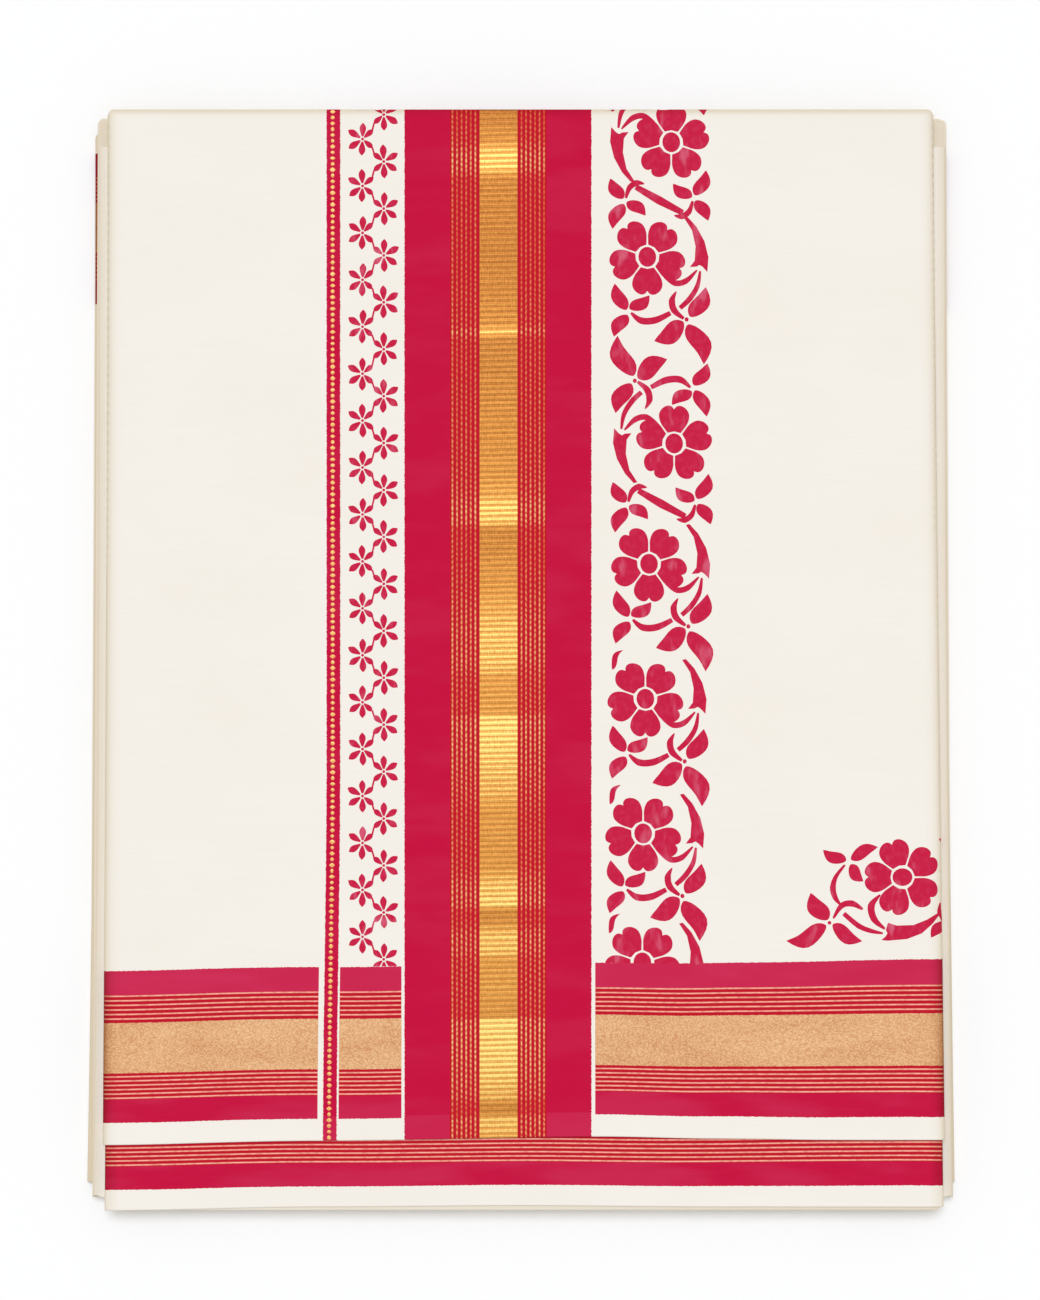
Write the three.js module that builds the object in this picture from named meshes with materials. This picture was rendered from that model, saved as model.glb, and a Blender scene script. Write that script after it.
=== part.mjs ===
// A cotton saree folded flat for a shelf, in millimetres.
// The cloth is folded once along its length, so that its two borders lie together at the near side.
// The doubled strip is then folded across itself into a flat pack, one turn over another.
// Three turns show at the pack's sides: the pallu's, a middle one, and the lowest, which the pack
// lies on. All the layers between them are one body, grooved at its edges where layers part.
// +X is to the right, +Y points away from the borders, and +Z is up.
// The origin is on the surface that the pack lies on, under the middle of its outline.
import * as THREE from "three";

const CLOTH_WIDTH = 1120; // from one selvedge to the other
const FRONT_HALF = 541.3; // from the lengthwise fold to the selvedge that lies on top
const FOLD_TAKE = 2.0; // cloth that the lengthwise fold takes up
const PACK_DEPTH = 579.4; // from the lengthwise fold to the pack's nearest point
const FOLD_LINE = PACK_DEPTH / 2;
const FRONT_EDGE = FOLD_LINE - FRONT_HALF;
const BACK_EDGE = FOLD_LINE - (CLOTH_WIDTH - FRONT_HALF - FOLD_TAKE);

const WALL = 1.0; // one layer of cloth with the air that it holds
const GAP = 0.3; // between layers that only lie on each other
const RETURN = 170; // |x| at which a turn's cloth ends, hidden between its neighbours
const TUCK = 12; // how far the outer half reaches in past the lengthwise fold
const GROOVE = 0.5; // depth of the parting between two hidden layers
const HIDDEN_ROUND = 4.0; // corner radius of the hidden layers, seen from above

const SIDE_STEPS = 6; // straight steps in the half circle of a side fold
const CROSS_STEPS = 14; // steps along the broad face of a turn
const WAYS = [0, 0.07, 0.18, 0.32, 0.5, 0.72, 1]; // shares of the way along a straight layer
const CORNER_WAYS = [0, 0.1, 0.4, 1]; // shares of a corner radius, counted from the end

// A selvedge wanders a little: how much nearer than its nominal line it comes at each x.
const FRONT_WANDER = [
  { x: -225, nearer: 4.6 },
  { x: -105, nearer: 2.2 },
  { x: 42, nearer: 0 },
  { x: 100, nearer: 1.1 },
  { x: 160, nearer: 2.0 },
  { x: 228, nearer: 2.2 },
];
const BACK_WANDER = [
  { x: -221, nearer: 2.7 },
  { x: -105, nearer: 0.7 },
  { x: 0, nearer: 0 },
  { x: 100, nearer: 0.7 },
  { x: 228, nearer: 0.8 },
];

// Each turn is a flattened roll of cloth between two side folds, which run from far to near and
// bend outwards by a power of the way along.
const PALLU = {
  floor: 12.9,
  height: 5.0,
  far: FOLD_LINE,
  near: BACK_EDGE,
  left: { far: -218.1, near: -220.9, power: 1.5 },
  right: { far: 217.9, near: 224.4, power: 1.2 },
  corner: { far: 3.2, near: 0 },
};
const SECOND = {
  floor: 8.6,
  height: 4.0,
  far: 287.0,
  near: -288.9,
  left: { far: -216.5, near: -219.3, power: 2.0 },
  right: { far: 216.2, near: 222.4, power: 1.5 },
  corner: { far: 3.0, near: 3.0 },
};
const MIDDLE = {
  floor: 4.3,
  height: 4.0,
  far: 271.5,
  near: -285.0,
  left: { far: -224.2, near: -227.2, power: 2.5 },
  right: { far: 225.2, near: 229.0, power: 1.8 },
  corner: { far: 2.0, near: 2.0 },
};
const LOWEST = {
  floor: 0,
  height: 4.0,
  far: 279.4,
  near: -277.3,
  left: { far: -226.3, near: -230.6, power: 2.5 },
  right: { far: 226.1, near: 230.6, power: 2.0 },
  corner: { far: 3.4, near: 3.4 },
};

// The hidden layers from the lowest up. Those inside a turn reach out into its side folds, and
// the others stop where the turns' cloth ends.
const HIDDEN = [
  { inside: LOWEST, inset: WALL + GAP, from: 1.3, to: 2.7, layers: 1, far: 277.4, near: -275.9 },
  { inside: null, inset: 0, from: 2.75, to: 5.55, layers: 2, far: 281.0, near: -279.5 },
  { inside: MIDDLE, inset: WALL + GAP, from: 5.6, to: 7.0, layers: 1, far: 285.8, near: -283.8 },
  { inside: null, inset: 0, from: 7.05, to: 8.55, layers: 1, far: 284.0, near: -286.0 },
  { inside: SECOND, inset: 0, from: 8.6, to: 12.6, layers: 3, far: 287.0, near: -288.9 },
  { inside: null, inset: 0, from: 12.65, to: 15.3, layers: 2, far: 285.5, near: -284.0 },
];

const PALLU_COLOUR = 0xc2174a;
const CLOTH_COLOUR = 0xf3ece0;
const UNDER_COLOUR = 0xebe1cf;

// A smooth curve through a table's rows, read at x.
function wander(rows, x) {
  const last = rows.length - 2;
  const above = rows.findIndex((row) => row.x > x);
  const i = above < 0 ? last : Math.min(Math.max(above - 1, 0), last);
  const [a, b] = [rows[i], rows[i + 1]];
  const share = THREE.MathUtils.smoothstep(x, a.x, b.x);
  return THREE.MathUtils.lerp(a.nearer, b.nearer, share);
}

// The x of a turn's side fold at a given y.
function sideAt(turn, side, y) {
  const { far, near, power } = turn[side];
  const way = THREE.MathUtils.clamp((turn.far - y) / (turn.far - turn.near), 0, 1);
  return far + (near - far) * way ** power;
}

// What a corner's rounding takes off, at a distance in from the edge.
function roundedOff(radius, inside) {
  if (inside >= radius) return 0;
  const across = radius - Math.max(inside, 0);
  return radius - Math.sqrt(radius ** 2 - across ** 2);
}

// Stops round a side fold, from the turn's hidden side to its broad side.
function sideStops(side) {
  const steps = Array.from({ length: SIDE_STEPS + 1 }, (_, i) => (Math.PI * i) / SIDE_STEPS);
  return steps.map((angle) => ({ side, angle }));
}

// Stops along a whole turn: in from its cloth's end, round the left fold, over the broad face,
// and round the right fold to the cloth's other end.
function turnStops() {
  const face = [];
  for (let i = 1; i < CROSS_STEPS; i++) face.push({ share: i / CROSS_STEPS });
  return [
    { x: -RETURN, lift: -1 },
    ...sideStops("left"),
    ...face,
    ...sideStops("right").reverse(),
    { x: RETURN, lift: -1 },
  ];
}

// Stops along one side fold alone, from the cloth's lower end to its upper end.
function foldStops(side) {
  const x = side === "left" ? -RETURN : RETURN;
  return [{ x, lift: -1 }, ...sideStops(side), { x, lift: 1 }];
}

// The point at a stop, a y, and a depth into the cloth from the turn's outer surface. The broad
// face is on top, or underneath when facing is -1.
function pointAt(turn, stop, y, depth, facing) {
  const half = turn.height / 2;
  const reach = half - depth;
  const left = sideAt(turn, "left", y) + half;
  const right = sideAt(turn, "right", y) - half;
  let { x, lift = 1 } = stop;
  if (stop.share !== undefined) {
    x = THREE.MathUtils.lerp(left, right, stop.share);
  } else if (stop.side !== undefined) {
    const out = reach * Math.sin(stop.angle);
    x = stop.side === "left" ? left - out : right + out;
    lift = -Math.cos(stop.angle);
  }
  return new THREE.Vector3(x, y, turn.floor + half + facing * lift * reach);
}

// Points along one face of a layer, in y and depth.
function layer(from, to, depth) {
  return WAYS.map((way) => new THREE.Vector2(THREE.MathUtils.lerp(from, to, way), depth));
}

// Points between the two ends of a fold at the far side, from one depth to another.
function foldEnd(far, from, to, steps) {
  const radius = Math.abs(to - from) / 2;
  const points = [];
  for (let i = 1; i < steps; i++) {
    const angle = (Math.PI * i) / steps;
    const depth = (from + to) / 2 - ((to - from) / 2) * Math.cos(angle);
    points.push(new THREE.Vector2(far + radius * Math.sin(angle), depth));
  }
  return points;
}

// A single layer of a lower turn, rounded over at its far end.
function plainSection(ends) {
  const bend = ends.far - WALL / 2;
  return [
    ...layer(ends.near, bend, 0),
    ...foldEnd(bend, 0, WALL, 4),
    ...layer(bend, ends.near, WALL),
  ];
}

const DOUBLED = 2 * WALL + GAP; // the two halves of the cloth, lying on each other
const TUCK_END = FOLD_LINE - DOUBLED / 2 - TUCK; // where the outer half's cloth meets the inner

// The outer half of the pallu: from its selvedge over the lengthwise fold and a little way back.
function frontSection(ends, x) {
  const edge = FRONT_EDGE - wander(FRONT_WANDER, x);
  const bend = ends.far - DOUBLED / 2;
  return [
    ...layer(edge, bend, 0),
    ...foldEnd(bend, 0, DOUBLED, 8),
    new THREE.Vector2(bend, DOUBLED),
    new THREE.Vector2(TUCK_END, DOUBLED),
    new THREE.Vector2(TUCK_END, WALL + GAP),
    new THREE.Vector2(bend, WALL + GAP),
    ...foldEnd(bend, WALL + GAP, WALL, 4),
    ...layer(bend, edge, WALL),
  ];
}

// The inner half of the pallu, which comes out from under the outer half's selvedge.
function backSection(ends, x) {
  const edge = BACK_EDGE - wander(BACK_WANDER, x);
  const end = TUCK_END - GAP;
  return [...layer(edge, end, WALL + GAP), ...layer(end, edge, DOUBLED)];
}

// A closed body through rings of equal length, its two ends filled by the given triangles.
function loft(rings, endTriangles) {
  const count = rings[0].length;
  const index = [];
  for (let i = 0; i + 1 < rings.length; i++) {
    for (let j = 0; j < count; j++) {
      const [a, b] = [i * count + j, i * count + ((j + 1) % count)];
      const [c, d] = [a + count, b + count];
      index.push(a, c, b, b, c, d);
    }
  }
  const last = (rings.length - 1) * count;
  for (const [a, b, c] of endTriangles) {
    index.push(a, b, c, last + a, last + c, last + b);
  }
  const position = rings.flat().flatMap((p) => p.toArray());
  const geometry = new THREE.BufferGeometry();
  geometry.setAttribute("position", new THREE.Float32BufferAttribute(position, 3));
  geometry.setIndex(index);
  return facingOut(geometry);
}

// Turns every face round where the body would be inside out.
function facingOut(geometry) {
  const position = geometry.getAttribute("position");
  const index = geometry.getIndex();
  const corner = (k) => new THREE.Vector3().fromBufferAttribute(position, index.getX(k));
  let volume = 0;
  for (let k = 0; k < index.count; k += 3) {
    volume += corner(k).dot(corner(k + 1).cross(corner(k + 2)));
  }
  if (volume < 0) index.array.reverse();
  geometry.computeVertexNormals();
  return geometry;
}

// A stretch of cloth: its section in y and depth, carried through the stops of a turn.
function clothGeometry(turn, stops, section, facing = 1) {
  const outlines = stops.map((stop) => {
    const x = pointAt(turn, stop, 0, 0, facing).x;
    const inside = Math.min(
      pointAt(turn, stop, turn.far, 0, facing).x - turn.left.far,
      turn.right.far - pointAt(turn, stop, turn.far, 0, facing).x,
    );
    const ends = {
      far: turn.far - roundedOff(turn.corner.far, inside),
      near: turn.near + roundedOff(turn.corner.near, inside),
    };
    return section(ends, x);
  });
  const rings = outlines.map((outline, i) =>
    outline.map((p) => pointAt(turn, stops[i], p.x, p.y, facing)),
  );
  return loft(rings, THREE.ShapeUtils.triangulateShape(outlines[0], []));
}

// The levels of the hidden layers: a ridge at each layer's middle, a groove where two part.
function hiddenLevels() {
  return HIDDEN.flatMap((group) => {
    const steps = 2 * group.layers;
    return Array.from({ length: steps + 1 }, (_, k) => ({
      ...group,
      z: THREE.MathUtils.lerp(group.from, group.to, k / steps),
      back: k % 2 === 0 ? GROOVE : 0,
    }));
  });
}

// The y of a level at each station, and what the corner's rounding takes off its sides there.
function stationsOf(level) {
  const far = level.far - level.back;
  const near = level.near + level.back;
  const corners = CORNER_WAYS.map((way) => HIDDEN_ROUND * way);
  const end = (y, towards) =>
    corners.map((d) => ({ y: y + towards * d, cut: roundedOff(HIDDEN_ROUND, d) }));
  const nearEnd = end(near, 1);
  const farEnd = end(far, -1).reverse();
  const between = WAYS.slice(1, -1).map((way) => ({
    y: THREE.MathUtils.lerp(near + HIDDEN_ROUND, far - HIDDEN_ROUND, 1 - way),
    cut: 0,
  }));
  return [...nearEnd, ...between.reverse(), ...farEnd];
}

// A hidden level's x on one side of the pack.
function hiddenSide(level, side, station) {
  const sign = side === "left" ? -1 : 1;
  const inset = level.inset + level.back + station.cut;
  const edge = level.inside ? sideAt(level.inside, side, station.y) : sign * (RETURN - GAP);
  return edge - sign * inset;
}

// All the hidden layers as one rounded body.
function hiddenGeometry() {
  const levels = hiddenLevels();
  const stations = levels.map(stationsOf);
  const side = (name, i) =>
    levels.map((level, k) => {
      const station = stations[k][i];
      return new THREE.Vector3(hiddenSide(level, name, station), station.y, level.z);
    });
  const rings = stations[0].map((_, i) => [...side("left", i), ...side("right", i).reverse()]);
  const last = 2 * levels.length - 1;
  const bands = levels.slice(1).flatMap((_, k) => [
    [k, k + 1, last - k],
    [k + 1, last - k - 1, last - k],
  ]);
  return loft(rings, bands);
}

function named(name, geometry, color) {
  const material = new THREE.MeshStandardMaterial({ color, roughness: 0.8, metalness: 0 });
  const mesh = new THREE.Mesh(geometry, material);
  mesh.name = name;
  return mesh;
}

const saree = new THREE.Group();
saree.add(
  named("pallu_front_half", clothGeometry(PALLU, turnStops(), frontSection), PALLU_COLOUR),
  named("pallu_back_half", clothGeometry(PALLU, turnStops(), backSection), PALLU_COLOUR),
  named("lowest_turn", clothGeometry(LOWEST, turnStops(), plainSection, -1), UNDER_COLOUR),
  named("hidden_folds", hiddenGeometry(), CLOTH_COLOUR),
);
for (const side of ["left", "right"]) {
  const fold = clothGeometry(MIDDLE, foldStops(side), plainSection);
  saree.add(named(`middle_${side}_fold`, fold, CLOTH_COLOUR));
}

export default saree;
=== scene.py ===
"""A printed cotton saree, folded flat for a shelf, dressed and lit for a studio picture.

Lengths are millimetres in the code and metres in the meshes. The cloth's own flat coordinates are
`along`, measured along the saree from the pack's middle, and `up`, measured from a selvedge.
"""

import logging
import math
import random
from dataclasses import dataclass, field
from enum import Enum
from typing import Iterable, Sequence

import bmesh
import bpy
import numpy as np
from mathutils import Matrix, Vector
from mathutils.geometry import delaunay_2d_cdt


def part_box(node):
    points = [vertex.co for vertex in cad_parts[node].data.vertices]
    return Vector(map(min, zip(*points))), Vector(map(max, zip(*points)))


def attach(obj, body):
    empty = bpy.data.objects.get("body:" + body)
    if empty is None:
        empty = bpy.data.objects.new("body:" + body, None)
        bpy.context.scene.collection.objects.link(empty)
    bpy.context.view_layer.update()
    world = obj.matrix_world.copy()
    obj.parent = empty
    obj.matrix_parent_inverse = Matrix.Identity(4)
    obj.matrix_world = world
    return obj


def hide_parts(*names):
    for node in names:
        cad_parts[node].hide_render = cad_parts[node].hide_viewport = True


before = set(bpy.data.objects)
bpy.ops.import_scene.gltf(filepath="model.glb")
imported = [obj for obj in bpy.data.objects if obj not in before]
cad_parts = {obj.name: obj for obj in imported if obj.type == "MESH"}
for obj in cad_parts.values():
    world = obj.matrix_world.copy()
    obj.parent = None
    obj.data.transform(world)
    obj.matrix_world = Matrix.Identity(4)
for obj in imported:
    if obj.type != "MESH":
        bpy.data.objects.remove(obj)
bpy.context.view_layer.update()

MM = 0.001
FULL_TURN = 2 * math.pi
CLOTH_MAP = "cloth"
BAKE_MAP = "OFBake"
FOLD_SHADING = "fold_shading"
SAME_POINT = 1e-4
INSIDE_EDGE = 0.05
FOLD_MARGIN = 6.0
# How far onto the broad face a fold's painted shade reaches, and how fast it fades
SHADED_FACE = 7.0
SHADE_FALL = 2.8
LOG = logging.getLogger("saree")

Array = np.ndarray
Point = tuple[float, float]
Outline = list[Point]


class Side(Enum):
    """The two sides that a turn is folded at."""

    LEFT = "left"
    RIGHT = "right"


class Pattern(Enum):
    """What a stretch of the saree is woven and printed with."""

    PALLU = "pallu"
    BORDER = "border"
    PLAIN = "plain"


# Shape of the folded cloth


def eased(share: Array) -> Array:
    """Returns a share from 0 to 1 that starts and stops gently."""
    return share * share * (3 - 2 * share)


@dataclass(frozen=True)
class Flare:
    """A side fold's place at the far end and at the near end, and how it bends between them."""

    far: float
    near: float
    power: float

    def at(self, way: Array) -> Array:
        """Returns x at a share of the way from far to near."""
        return self.far + (self.near - self.far) * np.clip(way, 0, 1) ** self.power


@dataclass(frozen=True)
class Wander:
    """A line that strays from its nominal place, given at a few x and eased between them."""

    at_x: tuple[float, ...]
    nearer: tuple[float, ...]

    def offset(self, x: Array) -> Array:
        """Returns how much nearer the line lies at x.

        Args:
            x: Places along the saree.

        Returns:
            The distance at each place.
        """
        rows = np.array(self.at_x)
        i = np.clip(np.searchsorted(rows, x, side="right") - 1, 0, len(rows) - 2)
        share = np.clip((x - rows[i]) / (rows[i + 1] - rows[i]), 0, 1)
        drop = np.array(self.nearer)
        return drop[i] + (drop[i + 1] - drop[i]) * eased(share)


@dataclass(frozen=True)
class Turn:
    """One turn of the folded strip: a flattened roll between two side folds."""

    floor: float
    height: float
    far: float
    near: float
    left: Flare
    right: Flare
    corner: float
    broad_side_up: bool = True

    @classmethod
    def of_nodes(
        cls,
        nodes: Sequence[str],
        narrower: Point,
        power: Point,
        corner: float,
        broad_side_up: bool = True,
    ) -> "Turn":
        """Reads a turn's size from the frame.

        Args:
            nodes: The solids that the turn is made of.
            narrower: How much less far out the left and right folds are at the far end.
            power: How late the left and right folds bend outwards.
            corner: Radius of the far corners.
            broad_side_up: False where the whole face lies underneath.

        Returns:
            The turn, in millimetres.
        """
        low = np.min([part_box(node)[0] for node in nodes], axis=0) / MM
        high = np.max([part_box(node)[1] for node in nodes], axis=0) / MM
        return cls(
            floor=low[2],
            height=high[2] - low[2],
            far=high[1],
            near=low[1],
            left=Flare(low[0] + narrower[0], low[0], power[0]),
            right=Flare(high[0] - narrower[1], high[0], power[1]),
            corner=corner,
            broad_side_up=broad_side_up,
        )

    @property
    def half(self) -> float:
        """Half the turn's height, which is its side folds' radius."""
        return self.height / 2

    @property
    def width(self) -> float:
        """Width of the turn at its far end."""
        return self.right.far - self.left.far

    def way(self, y: Array) -> Array:
        """Returns the share of the way from the far end to the near end."""
        return (self.far - y) / (self.far - self.near)

    def edges(self, y: Array) -> tuple[Array, Array]:
        """Returns x of the left and right ends of the broad face."""
        way = self.way(y)
        return self.left.at(way) + self.half, self.right.at(way) - self.half

    def wrap(self, along: Array, y: Array, depth: Array, lift: Array | float = 0.0) -> Array:
        """Lays flat cloth round the turn.

        Args:
            along: Place along the saree, which is x on the broad face.
            y: Place from near to far.
            depth: How far inside the turn's outer surface.
            lift: How far a point is raised where it lies on the broad face.

        Returns:
            Points in millimetres, one row each.
        """
        left, right = self.edges(y)
        past_right = np.maximum(along - right, 0)
        past_left = np.maximum(left - along, 0)
        past = np.maximum(past_right, past_left)
        sign = np.where(past_left > 0, -1.0, 1.0)
        bend = np.clip(past / self.half, 0, math.pi)
        back = np.maximum(past - math.pi * self.half, 0)
        reach = self.half - depth
        start = np.where(past_left > 0, left, np.where(past_right > 0, right, along))
        x = start + sign * (reach * np.sin(bend) - back)
        up = 1.0 if self.broad_side_up else -1.0
        flat = np.clip(1 - past / self.half, 0, 1)
        z = self.floor + self.half + up * reach * np.cos(bend) + lift * flat
        return np.stack([x, y, z], axis=-1)

    def face_places(self, y: float, step: float) -> Array:
        """Returns even places across the broad face, clear of the side folds."""
        left, right = self.edges(np.array(y))
        return np.linspace(left + FOLD_MARGIN, right - FOLD_MARGIN, int(self.width / step))

    def fold_shading(self, along: Array, y: Array) -> Array:
        """Returns how much painted shade the cloth takes near its side folds, from 0 to 1.

        Args:
            along: Places along the saree.
            y: Places from near to far.

        Returns:
            A share at each place.
        """
        left, right = self.edges(y)
        past = np.maximum(along - right, left - along)
        return np.clip((past + SHADED_FACE) / (self.half + SHADED_FACE), 0, 1) ** SHADE_FALL

    def corner_cut(self, along: Array) -> Array:
        """Returns how much a far corner's rounding takes off the far end.

        Args:
            along: Places along the saree.

        Returns:
            The length taken off at each place.
        """
        x = self.wrap(along, np.full_like(along, self.far), np.zeros_like(along))[..., 0]
        inside = np.clip(np.minimum(x - self.left.far, self.right.far - x), 0, self.corner)
        return self.corner - np.sqrt(self.corner**2 - (self.corner - inside) ** 2)


@dataclass(frozen=True)
class Crease:
    """A soft line set into the cloth, from one point to another."""

    start: Point
    end: Point
    rise: float
    width: float
    ends_in: float = 0.2

    def height(self, x: Array, y: Array) -> Array:
        """Returns the crease's height.

        Args:
            x: Places from left to right.
            y: Places from near to far.

        Returns:
            The height at each place.
        """
        start, end = np.array(self.start), np.array(self.end)
        run = end - start
        length = float(np.hypot(*run))
        share = ((x - start[0]) * run[0] + (y - start[1]) * run[1]) / length**2
        across = ((x - start[0]) * run[1] - (y - start[1]) * run[0]) / length
        ends = np.clip(np.minimum(share, 1 - share) / self.ends_in, 0, 1)
        return self.rise * np.exp(-((across / self.width) ** 2)) * eased(ends)


@dataclass(frozen=True)
class Waves:
    """Two waves that cross, each with its reach along x and along y, and its part in the phase."""

    one: Point
    other: Point
    phases: Point
    share: float = 1.0

    def height(self, x: Array, y: Array, phase: float) -> Array:
        """Returns the height of the crossed waves.

        Args:
            x: Places from left to right.
            y: Places from near to far.
            phase: How far the waves are shifted.

        Returns:
            The height at each place.
        """
        first = np.sin(x / self.one[0] + y / self.one[1] + self.phases[0] * phase)
        second = np.sin(x / self.other[0] + y / self.other[1] + self.phases[1] * phase)
        return self.share * (first * second)


@dataclass(frozen=True)
class Relief:
    """The small unevenness of cloth that has been folded and ironed."""

    creases: tuple[Crease, ...] = ()
    swell: float = 0.3
    phase: float = 0.0
    wide: Waves = Waves((61, 148), (-190, 83), (1, 1.3))
    small: Waves = Waves((23, -39), (51, 27), (2, 1), 0.22)

    def height(self, x: Array, y: Array) -> Array:
        """Returns how far the cloth stands proud of its turn.

        Args:
            x: Places from left to right.
            y: Places from near to far.

        Returns:
            The height at each place.
        """
        total = self.swell * (self.wide.height(x, y, self.phase) + self.small.height(x, y, self.phase))
        for crease in self.creases:
            total = total + crease.height(x, y)
        return total


# Flat outlines of the prints


def turned(points: Iterable[Point], degrees: float, at: Point = (0, 0), scale: float = 1) -> Outline:
    """Turns, scales and moves an outline.

    Args:
        points: The outline's points.
        degrees: Turn, anticlockwise.
        at: Where the outline's own zero goes.
        scale: Size factor.

    Returns:
        The moved outline.
    """
    c, s = math.cos(math.radians(degrees)) * scale, math.sin(math.radians(degrees)) * scale
    return [(at[0] + c * x - s * y, at[1] + s * x + c * y) for x, y in points]


def smooth(points: Sequence[Point], steps: int) -> Outline:
    """Returns a smooth open line through some points.

    Args:
        points: The points.
        steps: Steps from one point to the next.

    Returns:
        The line.
    """
    ends = [points[0], *points, points[-1]]
    line: Outline = []
    for a, b, c, d in zip(ends, ends[1:], ends[2:], ends[3:]):
        for i in range(steps):
            t = i / steps
            line.append(
                tuple(
                    b[k]
                    + 0.5 * t * (c[k] - a[k])
                    + t * t * (a[k] - 2.5 * b[k] + 2 * c[k] - 0.5 * d[k])
                    + t**3 * (1.5 * (b[k] - c[k]) + 0.5 * (d[k] - a[k]))
                    for k in (0, 1)
                )
            )
    return [*line, points[-1]]


def anticlockwise(outline: Outline) -> Outline:
    """Puts an outline's points in anticlockwise order.

    Args:
        outline: The outline, either way round.

    Returns:
        The same outline, anticlockwise.
    """
    pairs = zip(outline, outline[1:] + outline[:1])
    area = sum(a[0] * b[1] - b[0] * a[1] for a, b in pairs)
    return outline if area > 0 else outline[::-1]


def disc(centre: Point, across: float, tall: float, steps: int = 18) -> Outline:
    """Returns an oval of that half width and half height."""
    angles = [FULL_TURN * i / steps for i in range(steps)]
    return [(centre[0] + across * math.cos(a), centre[1] + tall * math.sin(a)) for a in angles]


def stroke(points: Sequence[Point], widths: Sequence[float], steps: int = 5) -> Outline:
    """Returns the outline of a brush stroke that swells and thins along its line.

    Args:
        points: Points on the stroke's line.
        widths: The stroke's width at each point.
        steps: Steps from one point to the next.

    Returns:
        The stroke's outline.
    """
    line = smooth(points, steps)
    count = len(line) - 1
    near: Outline = []
    far: Outline = []
    for i, (x, y) in enumerate(line):
        place = i / steps
        k = min(int(place), len(widths) - 2)
        half = 0.5 * (widths[k] + (widths[k + 1] - widths[k]) * (place - k))
        before, after = line[max(i - 1, 0)], line[min(i + 1, count)]
        dx, dy = after[0] - before[0], after[1] - before[1]
        size = math.hypot(dx, dy)
        near.append((x - dy / size * half, y + dx / size * half))
        far.append((x + dy / size * half, y - dx / size * half))
    return near + far[::-1]


def leaf(base: Point, tip: Point, width: float, curl: float = 0.12) -> Outline:
    """Returns a leaf that is round at its base and drawn out at its tip.

    Args:
        base: Where the leaf joins its node.
        tip: Its pointed end.
        width: Its greatest width.
        curl: Sideways bow of the midrib, as a share of its length.

    Returns:
        The leaf's outline.
    """
    run = (tip[0] - base[0], tip[1] - base[1])
    side = (-run[1], run[0])
    belly, taper, back_curl = 0.68, 0.92, 0.35
    peak = belly / (belly + taper)
    full = peak**belly * (1 - peak) ** taper
    left: Outline = []
    right: Outline = []
    for t in (0, 0.03, 0.1, 0.2, 0.32, 0.45, 0.58, 0.7, 0.81, 0.9, 1):
        half = 0.5 * width * t**belly * (1 - t) ** taper / full / math.hypot(*run)
        bow = curl * math.sin(math.pi * t) - back_curl * curl * math.sin(FULL_TURN * t)
        x, y = base[0] + run[0] * t, base[1] + run[1] * t
        left.append((x + side[0] * (bow + half), y + side[1] * (bow + half)))
        right.append((x + side[0] * (bow - half), y + side[1] * (bow - half)))
    return left + right[-2:0:-1]


@dataclass(frozen=True)
class Bloom:
    """A flower of heart-shaped petals round a disc."""

    petals: int = 5
    disc_across: float = 4.7
    disc_tall: float = 5.3
    foot: float = 6.3
    half_petal: tuple[Point, ...] = (
        (5.5, 3.45), (7.5, 4.95), (9.7, 6.55), (12.4, 7.7), (15.2, 7.95), (17.7, 6.8),
        (19.4, 4.8), (19.9, 2.7), (19.3, 1.1), (17.9, 0.0),
    )

    def outlines(self) -> list[Outline]:
        """Draws the petals and the disc, one petal pointing down.

        Returns:
            The outlines round the flower's centre.
        """
        one = smooth(self.half_petal, 3)
        petal = one + [(x, -y) for x, y in one[-2::-1]] + [(self.foot, 0.0)]
        turn = 360 / self.petals
        flowers = [turned(petal, -90 + turn * i) for i in range(self.petals)]
        return [*flowers, disc((0, 0), self.disc_across, self.disc_tall)]


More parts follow.
